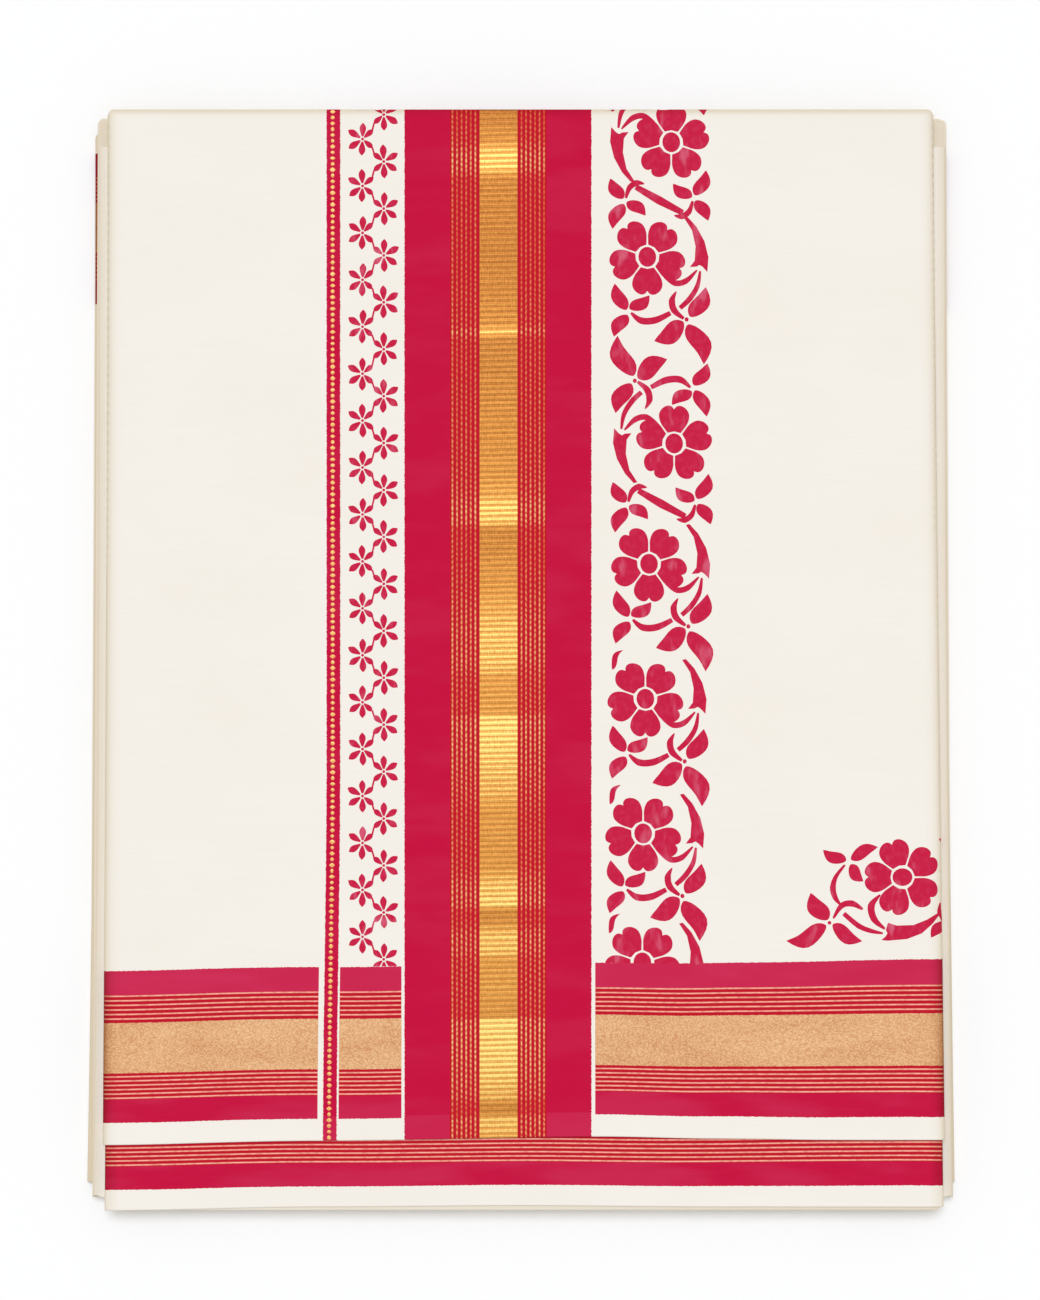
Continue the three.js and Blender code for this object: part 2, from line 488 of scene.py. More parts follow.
@dataclass(frozen=True)
class VineUnit:
    """A flower with the two leaf clusters and the stems that hang below it."""

    bloom: Bloom = Bloom()
    forked_stem: tuple[Point, ...] = (
        (19.3, 21.0), (21.3, 21.5), (25.9, 16.5), (30.1, 8.9), (32.2, 0.5), (31.6, -7.3),
        (29.1, -4.6), (27.5, -3.6), (25.9, -4.5), (22.4, -4.8), (24.9, -1.4), (25.4, 6.1),
        (23.5, 14.6),
    )
    node: Point = (20.7, -32.4)

    def stems(self) -> list[Outline]:
        """Draws the strokes that hang from the fork, and the arc below the flower.

        Returns:
            Their outlines.
        """
        return [
            stroke([(26.2, -6.3), (20.4, -12.1), (14.6, -13.4), (8.8, -10.2)], [0.8, 3.0, 3.2, 1.0]),
            stroke([(27.8, -6.8), (26.4, -14.6), (22.3, -21.5), (17.2, -26.5)], [1.1, 2.5, 2.9, 2.4]),
            stroke([(-8.6, -29.6), (-3.3, -33.6), (4.2, -33.2), (12.2, -29.2)], [1.2, 3.6, 3.6, 2.4]),
            list(self.forked_stem),
        ]

    def small_cluster(self) -> list[Outline]:
        """Draws the three leaves on the left.

        Returns:
            Their outlines.
        """
        return [
            leaf((-11.0, -28.2), (-17.2, -14.4), 7.4, 0.08),
            leaf((-9.4, -27.6), (1.2, -20.2), 6.8, -0.10),
            leaf((-10.4, -30.8), (-17.6, -42.4), 7.4, -0.10),
        ]

    def large_cluster(self) -> list[Outline]:
        """Draws the three larger leaves, their node and the tendril that starts there.

        Returns:
            Their outlines.
        """
        return [
            leaf((22.6, -31.0), (30.8, -15.2), 9.0, -0.10),
            leaf((19.2, -33.8), (3.6, -44.2), 10.0, 0.09),
            leaf((21.4, -34.9), (29.8, -56.0), 10.4, 0.12),
            disc(self.node, 1.1, 1.2, 10),
            stroke([(19.2, -32.0), (14.2, -27.8), (13.0, -22.6), (15.3, -17.7)], [1.5, 3.5, 3.4, 0.4]),
        ]

    def outlines(self) -> list[Outline]:
        """Draws the whole unit.

        Returns:
            Every outline round the flower's centre.
        """
        return [
            *self.bloom.outlines(),
            *self.stems(),
            *self.small_cluster(),
            *self.large_cluster(),
        ]


@dataclass(frozen=True)
class VineLink:
    """The slanting stem between two units that face away from each other, with its clusters."""

    def outlines(self) -> list[Outline]:
        """Draws the stem and both clusters, each the other turned half round.

        Returns:
            Their outlines round the link's middle.
        """
        half = [
            leaf((-19.0, 0.0), (-25.8, 10.6), 7.0, 0.08),
            leaf((-17.2, -1.7), (-7.2, -8.6), 6.6, 0.10),
            leaf((-18.7, -2.7), (-24.6, -16.0), 7.4, -0.10),
            stroke([(-17.6, 0.3), (-15.7, 5.8), (-11.9, 8.5), (-7.9, 8.1)], [1.2, 2.9, 3.2, 0.6]),
        ]
        stem = stroke([(-12.4, 6.4), (-0.3, -0.2), (12.4, -6.6)], [2.9, 4.5, 3.0], 7)
        return [stem, *half, *[turned(outline, 180) for outline in half]]


@dataclass(frozen=True)
class CornerSpray:
    """The spray in the near right corner: a flower lying on its side, which runs on round the fold."""

    bloom: Bloom = Bloom()
    fork: tuple[Point, ...] = (
        (-7.6, -24.0), (-3.1, -25.5), (5.8, -25.2), (13.0, -22.3), (18.8, -18.7), (19.2, -20.2),
        (15.8, -24.6), (10.2, -29.6), (2.4, -32.6), (-7.6, -33.5), (-11.1, -33.2), (-8.9, -31.2),
        (-7.9, -29.6), (-8.8, -27.9),
    )

    def leaves(self) -> list[Outline]:
        """Draws the three clusters of leaves.

        Returns:
            Their outlines.
        """
        return [
            leaf((-29.6, 8.6), (-41.8, 14.3), 6.6, 0.10),
            leaf((-27.2, 9.3), (-12.9, 15.8), 6.8, 0.08),
            leaf((-27.4, 6.6), (-20.6, -2.3), 6.6, -0.10),
            leaf((-39.3, -22.6), (-48.3, -8.4), 9.6, 0.10),
            leaf((-40.0, -25.6), (-61.2, -33.8), 9.2, 0.12),
            leaf((-36.8, -25.0), (-21.2, -33.8), 7.8, -0.10),
            leaf((24.2, -23.8), (15.0, -31.9), 6.4, -0.10),
            leaf((25.6, -19.4), (31.5, -7.0), 6.8, 0.10),
            leaf((27.2, -23.2), (39.0, -30.5), 7.4, 0.10),
            leaf((29.5, 13.4), (19.2, 20.0), 6.2, -0.10),
        ]

    def strokes(self) -> list[Outline]:
        """Draws the stems and tendrils.

        Returns:
            Their outlines.
        """
        return [
            stroke(
                [(-30.3, 6.4), (-35.0, 0.2), (-36.6, -5.7), (-35.4, -10.8), (-32.6, -14.6)],
                [1.1, 2.2, 3.2, 2.8, 1.0],
            ),
            stroke([(-36.4, -21.8), (-32.0, -15.1), (-26.4, -14.0), (-20.9, -17.0)], [1.0, 3.0, 3.4, 1.2]),
            stroke([(-30.9, -19.2), (-23.1, -25.7), (-16.4, -28.4), (-10.3, -29.6)], [2.4, 2.8, 2.4, 1.0]),
            stroke([(-11.7, -9.3), (-16.4, -15.1), (-14.8, -22.3), (-9.2, -27.3)], [0.8, 3.8, 3.5, 1.1]),
            stroke([(20.1, -13.4), (19.6, -18.2), (21.9, -23.4)], [0.8, 2.8, 1.2]),
            disc((-38.4, -24.1), 1.0, 1.0, 10),
            list(self.fork),
        ]

    def outlines(self) -> list[Outline]:
        """Returns the spray round its flower's centre."""
        flower = [turned(outline, -90) for outline in self.bloom.outlines()]
        return [*flower, *self.leaves(), *self.strokes()]


@dataclass(frozen=True)
class StarChain:
    """Two staggered columns of six-petalled stars, each linked to the next."""

    left: float = -83.4
    right: float = -72.2
    first: float = 527.0
    step: float = 24.7
    stagger: float = 12.0
    count: int = 19
    lean: float = 41.0
    inner_size: float = 0.83
    outer_size: float = 0.98
    faces_right: tuple[float, ...] = (90, 270, 148, -146)
    faces_left: tuple[float, ...] = (90, 270, 31, -34)
    petal: tuple[Point, ...] = ((1.4, 0.45), (3.2, 1.15), (5.4, 1.8), (7.2, 1.5), (8.8, 0.2))
    uneven_turn: float = 3.0
    uneven_size: float = 0.04
    middle: float = 0.8
    link_width: float = 0.95
    link_overlap: float = 0.5
    seed: int = 11

    def star(self, centre: Point, facing: int, rng: random.Random) -> list[Outline]:
        """Returns a star whose shorter petals lean to the next column.

        Args:
            centre: The star's centre.
            facing: 1 where the next column is on the right, else -1.
            rng: Source of the small differences between petals.

        Returns:
            Its petals and centre dot.
        """
        side = smooth(self.petal, 2)
        whole = side + [(x, -y) for x, y in side[::-1]]
        angles = self.faces_right if facing > 0 else self.faces_left
        sizes = [(angle, self.outer_size) for angle in angles]
        for lean in (self.lean, -self.lean):
            sizes.append((lean if facing > 0 else 180 - lean, self.inner_size))
        petals: list[Outline] = []
        for angle, size in sizes:
            lean = angle + rng.uniform(-self.uneven_turn, self.uneven_turn)
            scale = size * rng.uniform(1 - self.uneven_size, 1 + self.uneven_size)
            petals.append(turned(whole, lean, centre, scale))
        return [*petals, disc(centre, self.middle, self.middle, 8)]

    def link(self, left: Point, right: Point) -> Outline:
        """Draws the short dash between a star and its neighbour in the other column.

        Args:
            left: Centre of the star in the left column.
            right: Centre of the other one.

        Returns:
            The dash's outline.
        """
        reach = self.petal[-1][0] * self.inner_size - self.link_overlap
        across = reach * math.cos(math.radians(self.lean))
        down = math.copysign(reach * math.sin(math.radians(self.lean)), left[1] - right[1])
        ends = [(left[0] + across, left[1] - down), (right[0] - across, right[1] + down)]
        return stroke(ends, [self.link_width, self.link_width], 1)

    def outlines(self) -> list[Outline]:
        """Draws the whole chain, from the lengthwise fold down to the border.

        Returns:
            Every outline of the chain.
        """
        rng = random.Random(self.seed)
        found: list[Outline] = []
        for i in range(-1, self.count):
            left = (self.left, self.first - self.step * i)
            right = (self.right, left[1] - self.stagger)
            below = (self.left, left[1] - self.step)
            found += self.star(left, 1, rng) + self.star(right, -1, rng)
            found += [self.link(left, right), self.link(below, right)]
        return found


@dataclass(frozen=True)
class PrintLayout:
    """Where the prints lie on the pallu's outer half."""

    vine_units: tuple[tuple[float, float, float], ...] = (
        (79.1, 524.0, 180),
        (66.5, 463.3, 0),
        (80.6, 365.5, 180),
        (67.4, 301.8, 0),
        (65.5, 230.7, 0),
        (64.3, 159.8, 0),
        (63.9, 91.9, 0),
    )
    vine_links: tuple[Point, ...] = ((72.8, 493.6), (74.1, 333.8))
    cut_leaves: tuple[Point, ...] = ((65.5, 230.7), (64.3, 159.8), (63.9, 91.9))
    cut_leaf: tuple[Point, Point] = ((-17.4, 15.0), (-11.6, 25.4))
    spray: Point = (200.8, 138.3)
    border_top: float = 91.4

    def outlines(self) -> list[Outline]:
        """Draws every print, cut off where the border starts.

        Returns:
            The outlines, anticlockwise.
        """
        shapes: list[Outline] = []
        for x, up, degrees in self.vine_units:
            shapes += [turned(outline, degrees, (x, up)) for outline in VineUnit().outlines()]
        for x, up in self.vine_links:
            shapes += [turned(outline, 0, (x, up)) for outline in VineLink().outlines()]
        for x, up in self.cut_leaves:
            shapes.append(turned(leaf(*self.cut_leaf, 3.2, 0.15), 0, (x, up)))
        shapes += [turned(outline, 0, self.spray) for outline in CornerSpray().outlines()]
        shapes += StarChain().outlines()
        kept = [clipped(outline, self.border_top) for outline in shapes]
        return [anticlockwise(outline) for outline in kept if len(outline) > 2]


def clipped(outline: Outline, lowest: float) -> Outline:
    """Cuts off the part of an outline that lies below a level.

    Args:
        outline: The outline.
        lowest: The level.

    Returns:
        What is left, which may be nothing.
    """
    kept: Outline = []
    for a, b in zip(outline, outline[1:] + outline[:1]):
        if a[1] >= lowest:
            kept.append(a)
        if (a[1] >= lowest) != (b[1] >= lowest):
            share = (lowest - a[1]) / (b[1] - a[1])
            kept.append((a[0] + share * (b[0] - a[0]), lowest))
    return kept


# Meshes


@dataclass(frozen=True)
class Island:
    """A part of the map that is baked to, as shares of the whole map."""

    left: float
    right: float
    low: float = 0.005
    high: float = 0.995

    def lay(self, unit: Array) -> Array:
        """Returns places in the unit square moved into the island."""
        return unit * (self.right - self.left, self.high - self.low) + (self.left, self.low)


FACE_ISLAND = Island(0.002, 0.858)
BACK_ISLAND = Island(0.863, 0.982)
RIM_ISLAND = Island(0.985, 0.995, 0.0, 1.0)


def corner_points(mesh: bpy.types.Mesh) -> Array:
    """Finds the point at each face corner.

    Args:
        mesh: The mesh.

    Returns:
        The points' numbers.
    """
    corners = np.zeros(len(mesh.loops), dtype=np.int32)
    mesh.loops.foreach_get("vertex_index", corners)
    return corners


def lay_map(mesh: bpy.types.Mesh, name: str, places: Array) -> None:
    """Gives a mesh a map, with a place for each face corner."""
    layer = mesh.uv_layers.new(name=name)
    layer.data.foreach_set("uv", np.ascontiguousarray(places, dtype=np.float32).ravel())


def mark_fold_shading(mesh: bpy.types.Mesh, shares: Array) -> None:
    """Stores how much painted fold shade each point of a mesh takes."""
    fold = mesh.attributes.new(FOLD_SHADING, "FLOAT", "POINT")
    fold.data.foreach_set("value", shares.astype(np.float32))


@dataclass
class Shell:
    """A thin sheet: its outer and inner points, its faces and the loop round its edge."""

    outer: Array
    inner: Array
    flat: Array
    # How much painted fold shade each point takes
    fold_shading: Array
    faces: list[tuple[int, ...]]
    rim: list[int]
    inked: list[bool] = field(default_factory=list)

    def mesh(self, name: str) -> bpy.types.Mesh:
        """Builds the closed mesh with the cloth's own map and a map to bake to.

        Args:
            name: The mesh's name.

        Returns:
            The mesh, in metres.
        """
        count = len(self.outer)
        verts = np.concatenate([self.outer, self.inner]) * MM
        outside = list(self.faces)
        inside = [tuple(count + i for i in reversed(face)) for face in self.faces]
        rim = [
            (b, a, a + count, b + count)
            for a, b in zip(self.rim, self.rim[1:] + self.rim[:1])
        ]
        mesh = bpy.data.meshes.new(name)
        mesh.from_pydata(verts.tolist(), [], outside + inside + rim)
        inked = self.inked or [False] * len(self.faces)
        plain = [False] * (len(inside) + len(rim))
        mesh.polygons.foreach_set("material_index", [int(ink) for ink in inked + plain])
        self._lay_maps(mesh, len(outside), len(inside))
        mark_fold_shading(mesh, np.tile(self.fold_shading, 2))
        mesh.shade_smooth()
        mesh.validate()
        return mesh

    def _lay_maps(self, mesh: bpy.types.Mesh, outside: int, inside: int) -> None:
        """Lays the cloth's map in metres, and three islands side by side to bake to.

        Args:
            mesh: The shell's mesh, whose faces are the outer, the inner and then the rim.
            outside: Number of outer faces.
            inside: Number of inner faces.
        """
        corners = corner_points(mesh)
        starts = np.zeros(len(mesh.polygons), dtype=np.int32)
        mesh.polygons.foreach_get("loop_start", starts)
        cloth = np.concatenate([self.flat, self.flat])[corners]
        low, high = self.flat.min(axis=0), self.flat.max(axis=0)
        unit = (cloth - low) / (high - low)
        first_back, first_rim = starts[outside], starts[outside + inside]
        count = (len(corners) - first_rim) // 4
        share = np.arange(count) / count
        sides = ((0, 1 / count), (0, 0), (1, 0), (1, 1 / count))
        strip = np.stack([np.stack([np.full(count, x), share + y], -1) for x, y in sides], axis=1)
        bake = [
            FACE_ISLAND.lay(unit[:first_back]),
            BACK_ISLAND.lay(unit[first_back:first_rim]),
            RIM_ISLAND.lay(strip.reshape(-1, 2)),
        ]
        lay_map(mesh, CLOTH_MAP, cloth * MM)
        lay_map(mesh, BAKE_MAP, np.concatenate(bake))


def grid_faces(rows: int, columns: int) -> tuple[list[tuple[int, ...]], list[int]]:
    """Connects the points of a grid that is stored row by row.

    Args:
        rows: Number of rows.
        columns: Number of points in each row.

    Returns:
        The faces and the loop round the grid's edge.
    """
    faces = [
        (r * columns + c, r * columns + c + 1, (r + 1) * columns + c + 1, (r + 1) * columns + c)
        for r in range(rows - 1)
        for c in range(columns - 1)
    ]
    near = list(range(columns))
    right = [r * columns + columns - 1 for r in range(1, rows)]
    far = [(rows - 1) * columns + c for c in range(columns - 2, -1, -1)]
    left = [r * columns for r in range(rows - 2, 0, -1)]
    return faces, near + right + far + left


def place_object(
    mesh: bpy.types.Mesh, name: str, materials: Sequence[bpy.types.Material] = ()
) -> bpy.types.Object:
    """Puts a mesh in the scene.

    Args:
        mesh: The mesh.
        name: The object's name.
        materials: What it is dressed in.

    Returns:
        The object, at the origin.
    """
    for material in materials:
        mesh.materials.append(material)
    piece = bpy.data.objects.new(name, mesh)
    bpy.context.scene.collection.objects.link(piece)
    return piece


# Node trees


class Wire:
    """A number in a node tree that ordinary arithmetic works on."""

    def __init__(self, tree: bpy.types.NodeTree, socket: bpy.types.NodeSocket) -> None:
        """Keeps the tree and the socket that the number comes from."""
        self.tree = tree
        self.socket = socket

    def math(self, operation: str, *others: "Wire | float", clamp: bool = False) -> "Wire":
        """Works out a Math node on this number and others.

        Args:
            operation: The node's operation.
            others: The other numbers.
            clamp: Whether the result stays between 0 and 1.

        Returns:
            The result.
        """
        node = self.tree.nodes.new("ShaderNodeMath")
        node.operation = operation
        node.use_clamp = clamp
        for socket, value in zip(node.inputs, (self, *others)):
            if isinstance(value, Wire):
                self.tree.links.new(value.socket, socket)
            else:
                socket.default_value = value
        return Wire(self.tree, node.outputs[0])

    def __add__(self, other: "Wire | float") -> "Wire":
        """Returns the sum."""
        return self.math("ADD", other)

    def __sub__(self, other: "Wire | float") -> "Wire":
        """Returns the difference."""
        return self.math("SUBTRACT", other)

    def __mul__(self, other: "Wire | float") -> "Wire":
        """Returns the product."""
        return self.math("MULTIPLY", other)

    def __truediv__(self, other: "Wire | float") -> "Wire":
        """Returns the quotient."""
        return self.math("DIVIDE", other)

    def between(self, low: float, high: float, soft: float = 0.12) -> "Wire":
        """Returns 1 between two values and 0 outside them, with a soft edge."""
        away = (self - (low + high) / 2).math("ABSOLUTE")
        return ((away * -1) + ((high - low) / 2 + soft / 2)).math("DIVIDE", soft, clamp=True)

    def comb(self, first: float, pitch: float, count: int, width: float, soft: float = 0.15) -> "Wire":
        """Returns 1 on evenly spaced lines and 0 between them.

        Args:
            first: Place of the first line.
            pitch: Distance from one line to the next.
            count: Number of lines.
            width: Width of each.
            soft: How wide their edges fade.

        Returns:
            The share at each place.
        """
        tooth = (self - first) / pitch
        nearest = tooth.math("ROUND").math("MAXIMUM", 0).math("MINIMUM", count - 1)
        away = (tooth - nearest).math("ABSOLUTE") * -pitch
        return (away + (width / 2 + soft / 2)).math("DIVIDE", soft, clamp=True)

    def ribbed(self, pitch: float) -> "Wire":
        """Returns a wave between 0 and 1 with that pitch."""
        return (self * (FULL_TURN / pitch)).math("SINE") * 0.5 + 0.5

    def rise(self, low: float, high: float) -> "Wire":
        """Returns 0 below one value and 1 above another, eased between.

        Args:
            low: Where it starts.
            high: Where it is done.

        Returns:
            The share at each place.
        """
        node = self.tree.nodes.new("ShaderNodeMapRange")
        node.interpolation_type = "SMOOTHSTEP"
        self.tree.links.new(self.socket, node.inputs["Value"])
        node.inputs["From Min"].default_value = low
        node.inputs["From Max"].default_value = high
        return Wire(self.tree, node.outputs["Result"])


Colour = tuple[float, float, float]
Tint = bpy.types.NodeSocket | Colour


def light(red: int, green: int, blue: int) -> Colour:
    """Returns a screen colour, given from 0 to 255, as scene light."""
    shares = (red / 255, green / 255, blue / 255)
    return tuple(c / 12.92 if c < 0.04045 else ((c + 0.055) / 1.055) ** 2.4 for c in shares)


@dataclass(frozen=True)
class Grain:
    """Noise with grains that long and that tall, in millimetres."""

    along: float
    up: float
    detail: float = 2.0
    seed: float = 0.0


WARP = Grain(0.5, 9.0, 1.0, 3.0)
WEFT = Grain(11.0, 0.55, 1.0, 8.0)
RUMPLE = Grain(16.0, 12.0, 2.0, 21.0)
BLOTCHES = Grain(70.0, 55.0, 3.0, 5.0)
SLUBS = Grain(26.0, 0.8, 1.0, 14.0)
DYE_PATCHES = Grain(60.0, 16.0)
DYE_STREAKS = Grain(9.0, 0.9, 2.0, 4.0)
CRINKLE = Grain(2.8, 2.2, 2.0, 17.0)
GOLD_CLOUDS = Grain(40.0, 12.0, 2.0, 2.0)
BORDER_SWAY = Grain(90.0, 60.0, 1.0, 9.0)
BREAKS = Grain(2.4, 0.8, 2.0, 6.0)
LINE_BEAT = Grain(1.8, 14.0, 1.0, 61.0)
LINE_PICKS = Grain(0.8, 1.5, 1.0, 24.0)
RIB_SWAY = Grain(11.0, 3.0, 1.0, 19.0)
FLOATS = Grain(0.75, 2.4, 1.0, 33.0)
ROWS = Grain(70.0, 1.0, 1.0, 35.0)
RUBBED = Grain(6.0, 15.0, 2.0, 51.0)
MOTTLE = Grain(3.0, 3.5, 3.0, 55.0)
DOT_PICKS = Grain(0.6, 0.5, 1.0, 2.0)

WARP_HEIGHT = 0.3
WEFT_HEIGHT = 0.38
RUMPLE_HEIGHT = 0.9
WEAVE_DEPTH = 0.22
WEAVE_STRENGTH = 0.5


class ClothNodes:
    """Builds a material in a cloth's own coordinates."""

    def __init__(self, name: str) -> None:
        """Starts an empty material with a shader and the cloth's map in millimetres.

        Args:
            name: The material's name.
        """
        self.material = bpy.data.materials.new(name)
        self.material.use_nodes = True
        self.tree = self.material.node_tree
        self.shader = next(n for n in self.tree.nodes if n.type == "BSDF_PRINCIPLED")
        place = self.tree.nodes.new("ShaderNodeUVMap")
        place.uv_map = CLOTH_MAP
        scaled = self.tree.nodes.new("ShaderNodeVectorMath")
        scaled.operation = "SCALE"
        scaled.inputs["Scale"].default_value = 1 / MM
        self.tree.links.new(place.outputs[0], scaled.inputs[0])
        self.flat = scaled.outputs[0]
        parts = self.tree.nodes.new("ShaderNodeSeparateXYZ")
        self.tree.links.new(self.flat, parts.inputs[0])
        self.along = Wire(self.tree, parts.outputs[0])
        self.up = Wire(self.tree, parts.outputs[1])

    def fold_shading(self) -> Wire:
        """Reads how much painted shade the folds put on the cloth.

        Returns:
            The share, from 0 to 1.
        """
        node = self.tree.nodes.new("ShaderNodeAttribute")
        node.attribute_name = FOLD_SHADING
        return Wire(self.tree, node.outputs["Fac"])

    def noise(self, grain: Grain, shift: float = 0.0) -> Wire:
        """Adds noise of a grain.

        Args:
            grain: The grain.
            shift: What is added to its seed.

        Returns:
            The noise, from 0 to 1.
        """
        seed = grain.seed + shift
        mapping = self.tree.nodes.new("ShaderNodeMapping")
        mapping.inputs["Scale"].default_value = (1 / grain.along, 1 / grain.up, 1)
        mapping.inputs["Location"].default_value = (seed, seed * 1.7, seed * 0.6)
        node = self.tree.nodes.new("ShaderNodeTexNoise")
        node.inputs["Scale"].default_value = 1
        node.inputs["Detail"].default_value = grain.detail
        self.tree.links.new(self.flat, mapping.inputs["Vector"])
        self.tree.links.new(mapping.outputs[0], node.inputs["Vector"])
        return Wire(self.tree, node.outputs[0])

    def woven(self) -> Wire:
        """Returns the height of the threads, which run both ways."""
        return self.noise(WARP) * WARP_HEIGHT + self.noise(WEFT) * WEFT_HEIGHT

    def jag(self, place: Wire, thread: float, reach: float, seed: float) -> Wire:
        """Adds a small step for each thread, so that a dyed edge ends on threads.

        Args:
            place: Place across the threads.
            thread: Width of a thread.
            reach: How far apart the ends can lie.
            seed: Seed of the steps.

        Returns:
            The step at each place.
        """
        node = self.tree.nodes.new("ShaderNodeTexWhiteNoise")
        node.noise_dimensions = "1D"
        count = (place / thread + seed).math("FLOOR")
        self.tree.links.new(count.socket, node.inputs["W"])
        return (Wire(self.tree, node.outputs["Value"]) - 0.5) * reach

    def mixed(self, share: Wire, under: Tint, over: Tint) -> bpy.types.NodeSocket:
        """Lays one colour over another.

        Args:
            share: How much of the upper one shows.
            under: The lower colour.
            over: The upper colour.

        Returns:
            The mixed colour.
        """
        node = self.tree.nodes.new("ShaderNodeMix")
        node.data_type = "RGBA"
        node.clamp_factor = True
        self.tree.links.new(share.socket, node.inputs[0])
        for socket, colour in ((node.inputs[6], under), (node.inputs[7], over)):
            if isinstance(colour, tuple):
                socket.default_value = (*colour, 1)
            else:
                self.tree.links.new(colour, socket)
        return node.outputs[2]

    def shaded(
        self, colour: bpy.types.NodeSocket, shade: Colour, where: Wire | None = None
    ) -> bpy.types.NodeSocket:
        """Paints shade into a colour where the cloth goes round a fold.

        Args:
            colour: The colour.
            shade: What it is multiplied by in the fold.
            where: The part of the cloth that this is for, or None for all of it.

        Returns:
            The shaded colour.
        """
        node = self.tree.nodes.new("ShaderNodeMix")
        node.data_type = "RGBA"
        node.blend_type = "MULTIPLY"
        share = self.fold_shading() * where if where else self.fold_shading()
        self.tree.links.new(share.socket, node.inputs[0])
        self.tree.links.new(colour, node.inputs[6])
        node.inputs[7].default_value = (*shade, 1)
        return node.outputs[2]

    def ramp(self, value: Wire, stops: Sequence[Point], low: float, high: float) -> Wire:
        """Runs a level through stops.

        Args:
            value: The place.
            stops: Places, each with its level.
            low: Where the ramp starts.
            high: Where it ends.

        Returns:
            The level at each place.
        """
        node = self.tree.nodes.new("ShaderNodeValToRGB")
        share = (value - low) / (high - low)
        self.tree.links.new(share.socket, node.inputs[0])
        elements = node.color_ramp.elements
        elements.remove(elements[1])
        for i, (place, level) in enumerate(stops):
            at = (place - low) / (high - low)
            element = elements.new(at) if i else elements[0]
            element.position = at
            element.color = (level, level, level, 1)
        return Wire(self.tree, node.outputs[0])

    def bumped(self, height: Wire, distance: float = WEAVE_DEPTH, strength: float = WEAVE_STRENGTH) -> None:
        """Raises the surface.

        Args:
            height: The height, from 0 to about 1.
            distance: What a height of 1 stands for, in millimetres.
            strength: How strongly the light shows it.
        """
        node = self.tree.nodes.new("ShaderNodeBump")
        node.inputs["Strength"].default_value = strength
        node.inputs["Distance"].default_value = distance * MM
        self.tree.links.new(height.socket, node.inputs["Height"])
        self.tree.links.new(node.outputs[0], self.shader.inputs["Normal"])

    def coloured(self, colour: bpy.types.NodeSocket) -> None:
        """Gives the surface its colour."""
        self.tree.links.new(colour, self.shader.inputs["Base Color"])

    def set(self, **values: float) -> None:
        """Sets plain values on the shader's own sockets, with underscores for spaces."""
        for name, value in values.items():
            self.shader.inputs[name.replace("_", " ")].default_value = value


@dataclass(frozen=True)
class Dyes:
    """The saree's colours, with the painted shade for its folds."""

    cotton: Colour = light(243, 238, 230)
    warm_cotton: Colour = light(238, 229, 215)
    # Painted shade: what plain and dyed cloth are multiplied by where they go round a fold
    fold_shade: Colour = light(230, 220, 200)
    dyed_fold_shade: Colour = light(196, 172, 158)
    crimson: Colour = light(196, 4, 59)
    rose: Colour = light(208, 54, 94)
    print: Colour = light(199, 22, 65)
    red_ground: Colour = light(192, 16, 40)
    faded: Colour = light(222, 116, 142)
    matte_gold: Colour = light(198, 130, 80)
    matte_gold_light: Colour = light(248, 204, 156)
    thread_gold: Colour = light(255, 182, 158)
    # Fine gold lines, orange to cream; the cream shows mostly under the painted highlight
    thread_orange: Colour = light(226, 96, 58)
    thread_cream: Colour = light(255, 216, 146)
    # Gold thread, deep to bright; the bright end shows mostly under the painted highlight
    zari_deep: Colour = light(162, 95, 36)
    zari: Colour = light(216, 148, 68)
    zari_bright: Colour = light(255, 221, 128)
    dot_foot: Colour = light(226, 138, 66)
    dot_crown: Colour = light(255, 212, 136)


@dataclass(frozen=True)
class FineLines:
    """Two groups of fine lines: where each group starts and its pitch, and the lines' own size."""

    groups: tuple[Point, Point]
    width: float
    soft: float
    count: int = 6

    def on(self, place: Wire) -> Wire:
        """Returns 1 on the lines and 0 between them."""
        combs = [place.comb(at, pitch, self.count, self.width, self.soft) for at, pitch in self.groups]
        return combs[0].math("MAXIMUM", combs[1])


@dataclass(frozen=True)
class BorderBands:
    """The border's bands, measured up from the selvedge."""

    crimson: tuple[Point, Point] = ((11.6, 23.8), (78.6, 91.4))
    ground: Point = (11.6, 91.4)
    gold: Point = (37.6, 64.1)
    lines: FineLines = FineLines(((24.6, 2.24), (66.2, 2.38)), 0.72, 0.3)
    lower: float = 0.0
    sway: float = 0.9
    thread: float = 0.8
    jag: float = 0.22
    uneven_dye: float = 0.36
    upper_fade: float = 0.4
    widens: Point = (40.0, 220.0)
    widening: float = 0.038


@dataclass(frozen=True)
class PalluBands:
    """The pallu's bands, measured along the saree from the pack's middle."""

    band: Point = (-61.3, 37.1)
    clear: Point = (-62.9, 39.1)
    gold: Point = (-21.8, -1.8)
    ground: Point = (-37.4, 13.6)
    lines: FineLines = FineLines(((-36.05, 2.41), (0.3, 2.37)), 0.75, 0.35)
    stripe: Point = (-102.3, -95.1)
    stripe_clear: Point = (-105.2, -94.1)
    dots_at: float = -99.1
    stripe_drift: float = 1.9
    drift_starts: float = 200.0
    hem: Point = (12.9, 12.4)
    hem_fade: float = 0.35
    thread: float = 0.75
    jag: float = 0.3
    uneven_dye: float = 0.17
    length: float = 545.0


